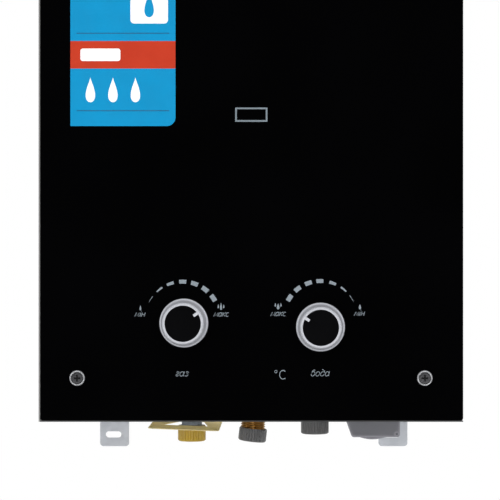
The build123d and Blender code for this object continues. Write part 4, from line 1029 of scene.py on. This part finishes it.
# %% Flames and drops
leaf_pinch = 1.6
one_flame = [(0, 0.2, 2.6, 5.6)]
three_flames = [(0, 0.2, 3.0, 7.6), (-2.7, 0.3, 2.0, 4.2), (2.7, 0.3, 2.0, 4.2)]
one_drop = [(0, 0.5, 3.4, 5.4)]
three_drops = [(0, 0, 4.0, 6.2), (-2.8, 1.6, 2.0, 4.0), (2.8, 1.6, 2.0, 4.0)]
gas_low_pixel, gas_high_pixel = (140.3, 307.8), (220.9, 306.4)
water_low_pixel, water_high_pixel = (359.8, 307.1), (278.0, 306.2)


def leaf(x, z, width, height, steps=10):
    """Pointed leaf outline about its middle: a round foot and a tip at the top."""
    outline = []
    for step in range(2 * steps):
        turn = math.pi * step / steps
        pinch = math.sin(turn / 2) ** leaf_pinch
        outline.append((x + width / 2 * math.sin(turn) * pinch, z + height / 2 * math.cos(turn)))
    return outline


def sign(spot, leaves):
    """Leaves round a pixel of the photograph."""
    column, row = spot
    return [
        leaf(column_x(column + right), row_z(row - up), width * pixel, height * pixel)
        for right, up, width, height in leaves
    ]


gas_signs = sign(gas_low_pixel, one_flame) + sign(gas_high_pixel, three_flames)
water_signs = sign(water_low_pixel, one_drop) + sign(water_high_pixel, three_drops)
printed("gas_signs", gas_signs, pale_ink)
printed("water_signs", water_signs, pale_ink)
print("leaves:", len(gas_signs + water_signs))

# %% [markdown]
# ## Letters
# Plain words name the ends of the scales and the two knobs, as on any dial. The letters are thin and
# slanted, so each is drawn with a few pen strokes on a grid one letter high, after the width that it
# takes in the word. A bowl is the round stroke that several letters share.

# %% Letters as pen strokes
bowl_height = 0.48


def bowl(middle, wide, start=8, end=352, steps=14):
    """Round pen stroke between two angles."""
    turns = [math.radians(start + (end - start) * step / steps) for step in range(steps + 1)]
    return [
        (middle + wide * math.cos(turn), bowl_height + bowl_height * math.sin(turn)) for turn in turns
    ]


letters = {
    "м": (1.2, [[(0, 0), (0.25, 1), (0.52, 0.15), (0.98, 1), (1.0, 0)]]),
    "і": (0.4, [[(0.1, 0.95), (0.1, 0.1), (0.28, 0)], [(0.1, 1.28), (0.16, 1.42)]]),
    "н": (0.95, [[(0.08, 1), (0.08, 0)], [(0.76, 1), (0.76, 0)], [(0.08, 0.5), (0.76, 0.5)]]),
    "а": (1.0, [bowl(0.36, 0.34), [(0.74, 1), (0.74, 0.12), (0.92, 0.02)]]),
    "к": (0.9, [[(0.08, 1), (0.08, 0)], [(0.76, 1), (0.12, 0.5), (0.5, 0.3), (0.8, 0)]]),
    "с": (0.8, [bowl(0.4, 0.38, start=50, end=318)]),
    "г": (0.8, [[
        (0.05, 0.8), (0.3, 1), (0.58, 0.86), (0.5, 0.6), (0.2, 0.35), (0.1, 0.14), (0.35, 0),
        (0.65, 0.15),
    ]]),
    "з": (0.8, [[
        (0.05, 0.85), (0.35, 1), (0.62, 0.8), (0.3, 0.53), (0.66, 0.28), (0.33, 0), (0, 0.15),
    ]]),
    "в": (0.95, [
        bowl(0.38, 0.36), [(0.02, 0.45), (0.12, 1.05), (0.38, 1.38), (0.6, 1.2), (0.34, 0.96)],
    ]),
    "о": (0.95, [bowl(0.38, 0.36)]),
    "д": (0.95, [bowl(0.38, 0.36), [(0.74, 0.5), (0.68, 1.02), (0.44, 1.3), (0.06, 1.42)]]),
}
print("letters:", "".join(letters))

# %% [markdown]
# ## Words
# A word sets its letters side by side, leans them and scales them to the width and height measured
# on the photograph. Each stroke gets the same thin width, whatever the size of its word. The list
# gives each word's middle column and row, its width and the height of its letters, in pixels.

# %% Words of the dials
pen_width = 0.56 * pixel
letter_slant = 0.28
dial_words = {
    "gas_min_word": ("мін", 140.2, 314.5, 10.4, 4.0),
    "gas_max_word": ("макс", 221.5, 314.4, 15.0, 4.0),
    "water_max_word": ("макс", 278.5, 313.9, 15.0, 4.0),
    "water_min_word": ("мін", 359.7, 313.6, 10.3, 4.0),
    "gas_word": ("газ", 182.4, 373.8, 13.6, 4.7),
    "water_word": ("вода", 320.6, 373.7, 19.0, 4.7),
}


def stroke(points):
    """Outline of a thin stroke along a line of points."""
    left, right = [], []
    for place, spot in enumerate(points):
        ahead = Vector(points[min(place + 1, len(points) - 1)]) - Vector(points[max(place - 1, 0)])
        side = Vector((-ahead.y, ahead.x)).normalized() * pen_width / 2
        left.append(tuple(Vector(spot) + side))
        right.append(tuple(Vector(spot) - side))
    return left + right[::-1]


def word_strokes(text, column, row, width, height):
    """Outlines of a word's strokes round a pixel."""
    wide = width * pixel / sum(letters[letter][0] for letter in text)
    high = height * pixel
    pen = column_x(column) - width * pixel / 2
    outlines = []
    for letter in text:
        advance, strokes = letters[letter]
        for points in strokes:
            line = []
            for x, z in points:
                up = (z - 0.5) * high
                line.append((pen + x * wide + letter_slant * up, row_z(row) + up))
            outlines.append(stroke(line))
        pen += advance * wide
    return outlines


for name, measures in dial_words.items():
    printed(name, word_strokes(*measures), pale_ink)
print("words:", len(dial_words))

# %% [markdown]
# ## Degree sign
# The sign between the knobs is a small ring and a large open letter. Both are pieces of a ring, as the
# bars of the scales are: the small one is nearly closed, and the large one is open on its right and
# squeezed sideways.

# %% Degree sign
small_ring = (column_x(275.8), row_z(371.5), 1.25 * pixel)
small_line = (0.5 * pixel, 0.5 * pixel)
open_ring = (column_x(282.9), row_z(374.7), 4.3 * pixel)
open_line = (0.8 * pixel, 0.8 * pixel)
printed("degree_sign", [
    ring_bar(*small_ring, small_line, middle=0, span=354, steps=24),
    ring_bar(*open_ring, open_line, middle=180, span=264, squeeze=0.78, steps=28),
], pale_ink)
print("degree sign:", round(open_ring[2] / mm, 2), "mm in radius")

# %% [markdown]
# ## Frame of the sight window
# The burner can be watched through a small window, which a printed frame marks. The frame is a
# rectangle within a rectangle, so its points lie on four rings: the outer edge at the back and at the
# front, then the inner edge at the front and at the back.

# %% Window frame
window_left, window_right = column_x(235.1), column_x(267.3)
window_top, window_foot = row_z(107.5), row_z(121.7)
window_line = 1.3 * mm


def frame_ring(inset, y):
    """Four corners of the window, drawn in by an inset."""
    left, right = window_left + inset, window_right - inset
    foot, top = window_foot + inset, window_top - inset
    return [(left, y, foot), (right, y, foot), (right, y, top), (left, y, top)]


ink_face = glass_face - ink_thick
frame_points = frame_ring(0, glass_face) + frame_ring(0, ink_face)
frame_points += frame_ring(window_line, ink_face) + frame_ring(window_line, glass_face)
frame_faces = ring_faces(rings=4, around=4, closed=True)
piece("window_frame", frame_points, frame_faces, faint_ink, "heater", print_crease)
print("window frame:", round((window_right - window_left) / mm, 1), "mm wide")

# %% [markdown]
# ## Sticker film
# A shop sticker covers the upper left of the glass. This one is a plain design: a blue film with a
# rounded corner, an orange band, two pale tiles and drops. The helpers draw a sheet with rounded
# corners and a drop, placed in millimetres from the sticker's lower left corner.

# %% Sticker outlines
film_left, film_right = column_x(70.3), column_x(175.4)
film_foot = row_z(126)
film_height = 150 * mm
film_width = (film_right - film_left) / mm
film_leaf_steps = 16


def rounded_sheet(left, right, foot, top, corners, steps=8):
    """Rectangle outline with its own radius at each corner, from the lower left one round."""
    middles = (
        (left, foot, 1, 1, 180), (right, foot, -1, 1, 270),
        (right, top, -1, -1, 0), (left, top, 1, -1, 90),
    )
    outline = []
    for (x, z, inward, upward, start), radius in zip(middles, corners):
        for step in range(steps + 1 if radius else 1):
            turn = math.radians(start + 90 * step / steps)
            outline.append((
                x + radius * (inward + math.cos(turn)), z + radius * (upward + math.sin(turn)),
            ))
    return outline


def film_box(left, right, low, high, corner=0.0):
    """Sheet on the sticker, placed in millimetres from its lower left corner."""
    return rounded_sheet(
        film_left + left * mm, film_left + right * mm, film_foot + low * mm, film_foot + high * mm,
        [corner * mm] * 4,
    )


def film_leaf(right, up, width, height):
    """Leaf on the sticker, placed in millimetres from its lower left corner."""
    return leaf(film_left + right * mm, film_foot + up * mm, width * mm, height * mm, film_leaf_steps)


print("sticker:", round(film_width, 1), "mm wide")

# %% [markdown]
# ## Sticker layers
# Each colour is a thin layer on the one below, so that none lies in the same place as another. The
# blue and orange films are duller than the inks: they mirror less of the room.

# %% Sticker layers
sky_film = ink("sky_film", (0.002, 0.23, 0.46), (0.003, 0.215, 0.43), shine=0.1)
orange_film = ink("orange_film", (0.45, 0.036, 0.013), (0.41, 0.032, 0.012), shine=0.1)
white_film = ink("white_film", (0.8, 0.81, 0.82), (0.74, 0.75, 0.77))
navy_film = ink("navy_film", (0.006, 0.03, 0.08), (0.008, 0.036, 0.09))
film_corners = [0, 7 * mm, 0, 0]
band_low, band_high = 46, 68
rule_inset, rule_thick = 5, 0.5
rule_heights = (12, 74)
tile_low, tile_high, tile_left, tile_margin, tile_corner = 82, 112, 48, 6, 3
label_low, label_high, label_left, label_right, label_corner = 52, 62, 8, 40, 2
drop_width, drop_height = 11, 20
drop_places, drop_rise = (16, 34, 52), 29
mark_place, mark_rise = 63, 97

sheet = rounded_sheet(film_left, film_right, film_foot, film_foot + film_height, film_corners)
band = film_box(0, film_width, band_low, band_high)
rules = [film_box(rule_inset, film_width - rule_inset, low, low + rule_thick) for low in rule_heights]
tile = film_box(tile_left, film_width - tile_margin, tile_low, tile_high, tile_corner)
label = film_box(label_left, label_right, label_low, label_high, label_corner)
drops = [film_leaf(place, drop_rise, drop_width, drop_height) for place in drop_places]
mark = film_leaf(mark_place, mark_rise, drop_width, drop_height)
printed("sticker_sheet", [sheet], sky_film)
printed("sticker_band", [band], orange_film, ink_thick)
printed("sticker_rules", rules, navy_film, ink_thick)
printed("sticker_tile", [tile, label], white_film, 2 * ink_thick)
printed("sticker_signs", drops, white_film, ink_thick)
printed("sticker_mark", [mark], sky_film, 3 * ink_thick)
print("sticker layers: 4, each", round(ink_thick / mm, 2), "mm thick")

# %% [markdown]
# ## Threads
# The pipe ends carry a real pipe thread, which shows over the hot cap and on every end when its cap
# is pulled. The solid has a plain cylinder of the thread's outer size. The piece winds the groove
# round it: the radius falls and rises once per pitch, and a turn shifts it by one pitch.

# %% Winding a thread
thread_pitch = 1.814 * mm
thread_depth = 1.0 * mm
thread_radius = 20.955 / 2 * mm
thread_around = 72
rows_per_pitch = 10
flank_slope = 2.6
crest_share = 0.15
foot_groove_share = 0.35


def groove(turn):
    """Depth share of a thread at a share of its turn: flat crest, sloped flanks and flat root."""
    turn = turn % 1.0
    return min(1.0, max(0.0, flank_slope * (0.5 - abs(turn - 0.5)) - crest_share))


def thread_rows(x, y, top, foot):
    """Rings of points down a thread, fading out at its top and foot."""
    count = round((top - foot) / thread_pitch * rows_per_pitch)
    points = []
    for row in range(count + 1):
        z = top + (foot - top) * row / count
        fade = min(1.0, (top - z) / thread_pitch, (z - foot) / thread_pitch + foot_groove_share)
        for step in range(thread_around):
            angle = 2 * math.pi * step / thread_around
            cut = thread_depth * fade * groove(z / thread_pitch + step / thread_around)
            radius = thread_radius - cut
            points.append((x + radius * math.cos(angle), y + radius * math.sin(angle), z))
    return points


print("threads:", round(thread_pitch / mm, 3), "mm pitch")

# %% [markdown]
# ## Pipe ends
# Each pipe end is one closed mesh of rings: down its outside, over the collar or flange and the
# thread, then over the chamfered end and up the bore. The gas end is zinc plated steel and hangs from
# a flange, and the water ends are brass with a collar. Heights count from the cover's lower edge.

# %% Threaded pipe ends
pipe_bore = 7 * mm
bore_edge = 0.4 * mm
thread_crease = 28
flange_thick = 6 * mm
collar_edge = 0.5 * mm
gas_neck = 8.6 * mm
gas_thread_lead = 0.6 * mm


def rise(height):
    """Z of a height in millimetres over the cover's lower edge."""
    return cover_foot + height * mm


def plain_ring(x, y, z, radius):
    """One ring of points round a pipe."""
    turns = [2 * math.pi * step / thread_around for step in range(thread_around)]
    return [(x + radius * math.cos(turn), y + radius * math.sin(turn), z) for turn in turns]


def threaded_pipe(name, node, above, thread_top, finish):
    """Pipe end with its collar above, its thread and its bore, in the place of its solid."""
    low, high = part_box(node)
    x = (low.x + high.x) / 2
    y = (low.y + high.y) / 2
    bore = ((pipe_bore + bore_edge, low.z), (pipe_bore, low.z + bore_edge), (pipe_bore, high.z))
    points = []
    for radius, z in above:
        points += plain_ring(x, y, z, radius)
    points += thread_rows(x, y, thread_top, low.z)
    for radius, z in bore:
        points += plain_ring(x, y, z, radius)
    faces = ring_faces(len(points) // thread_around, thread_around, closed=True)
    made = piece(name, points, faces, finishes[finish], "heater", thread_crease)
    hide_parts(node)


gas_low, gas_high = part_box("gas_inlet")
hot_low, hot_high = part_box("hot_outlet")
cold_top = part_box("cold_inlet")[1].z
gas_flange = (gas_high.x - gas_low.x) / 2
flange_foot = gas_high.z - flange_thick
gas_neck_foot, gas_lead_foot, gas_thread_top = rise(-10.4), rise(-10.9), rise(-11)
collar = (hot_high.x - hot_low.x) / 2
collar_rim = collar - collar_edge
hot_collar_top, hot_collar_foot, hot_thread_top = rise(10), rise(4), rise(3.9)
cold_thread_top = rise(2)

threaded_pipe("gas_pipe_end", "gas_inlet", [
    (gas_flange, gas_high.z), (gas_flange, flange_foot), (gas_neck, flange_foot),
    (gas_neck, gas_neck_foot), (thread_radius - gas_thread_lead, gas_lead_foot),
], gas_thread_top, "zinc_pipe")
threaded_pipe("hot_pipe_end", "hot_outlet", [
    (thread_radius, hot_high.z), (thread_radius, hot_collar_top), (collar_rim, hot_collar_top),
    (collar, hot_collar_top - collar_edge), (collar, hot_collar_foot), (thread_radius, hot_collar_foot),
], hot_thread_top, "brass_fitting")
threaded_pipe("cold_pipe_end", "cold_inlet", [
    (collar_rim, cold_top), (collar, cold_top - collar_edge), (collar, cold_top - flange_thick),
    (thread_radius, cold_top - flange_thick),
], cold_thread_top, "brass_fitting")
print("pipe bore:", round(2 * pipe_bore / mm, 1), "mm across")
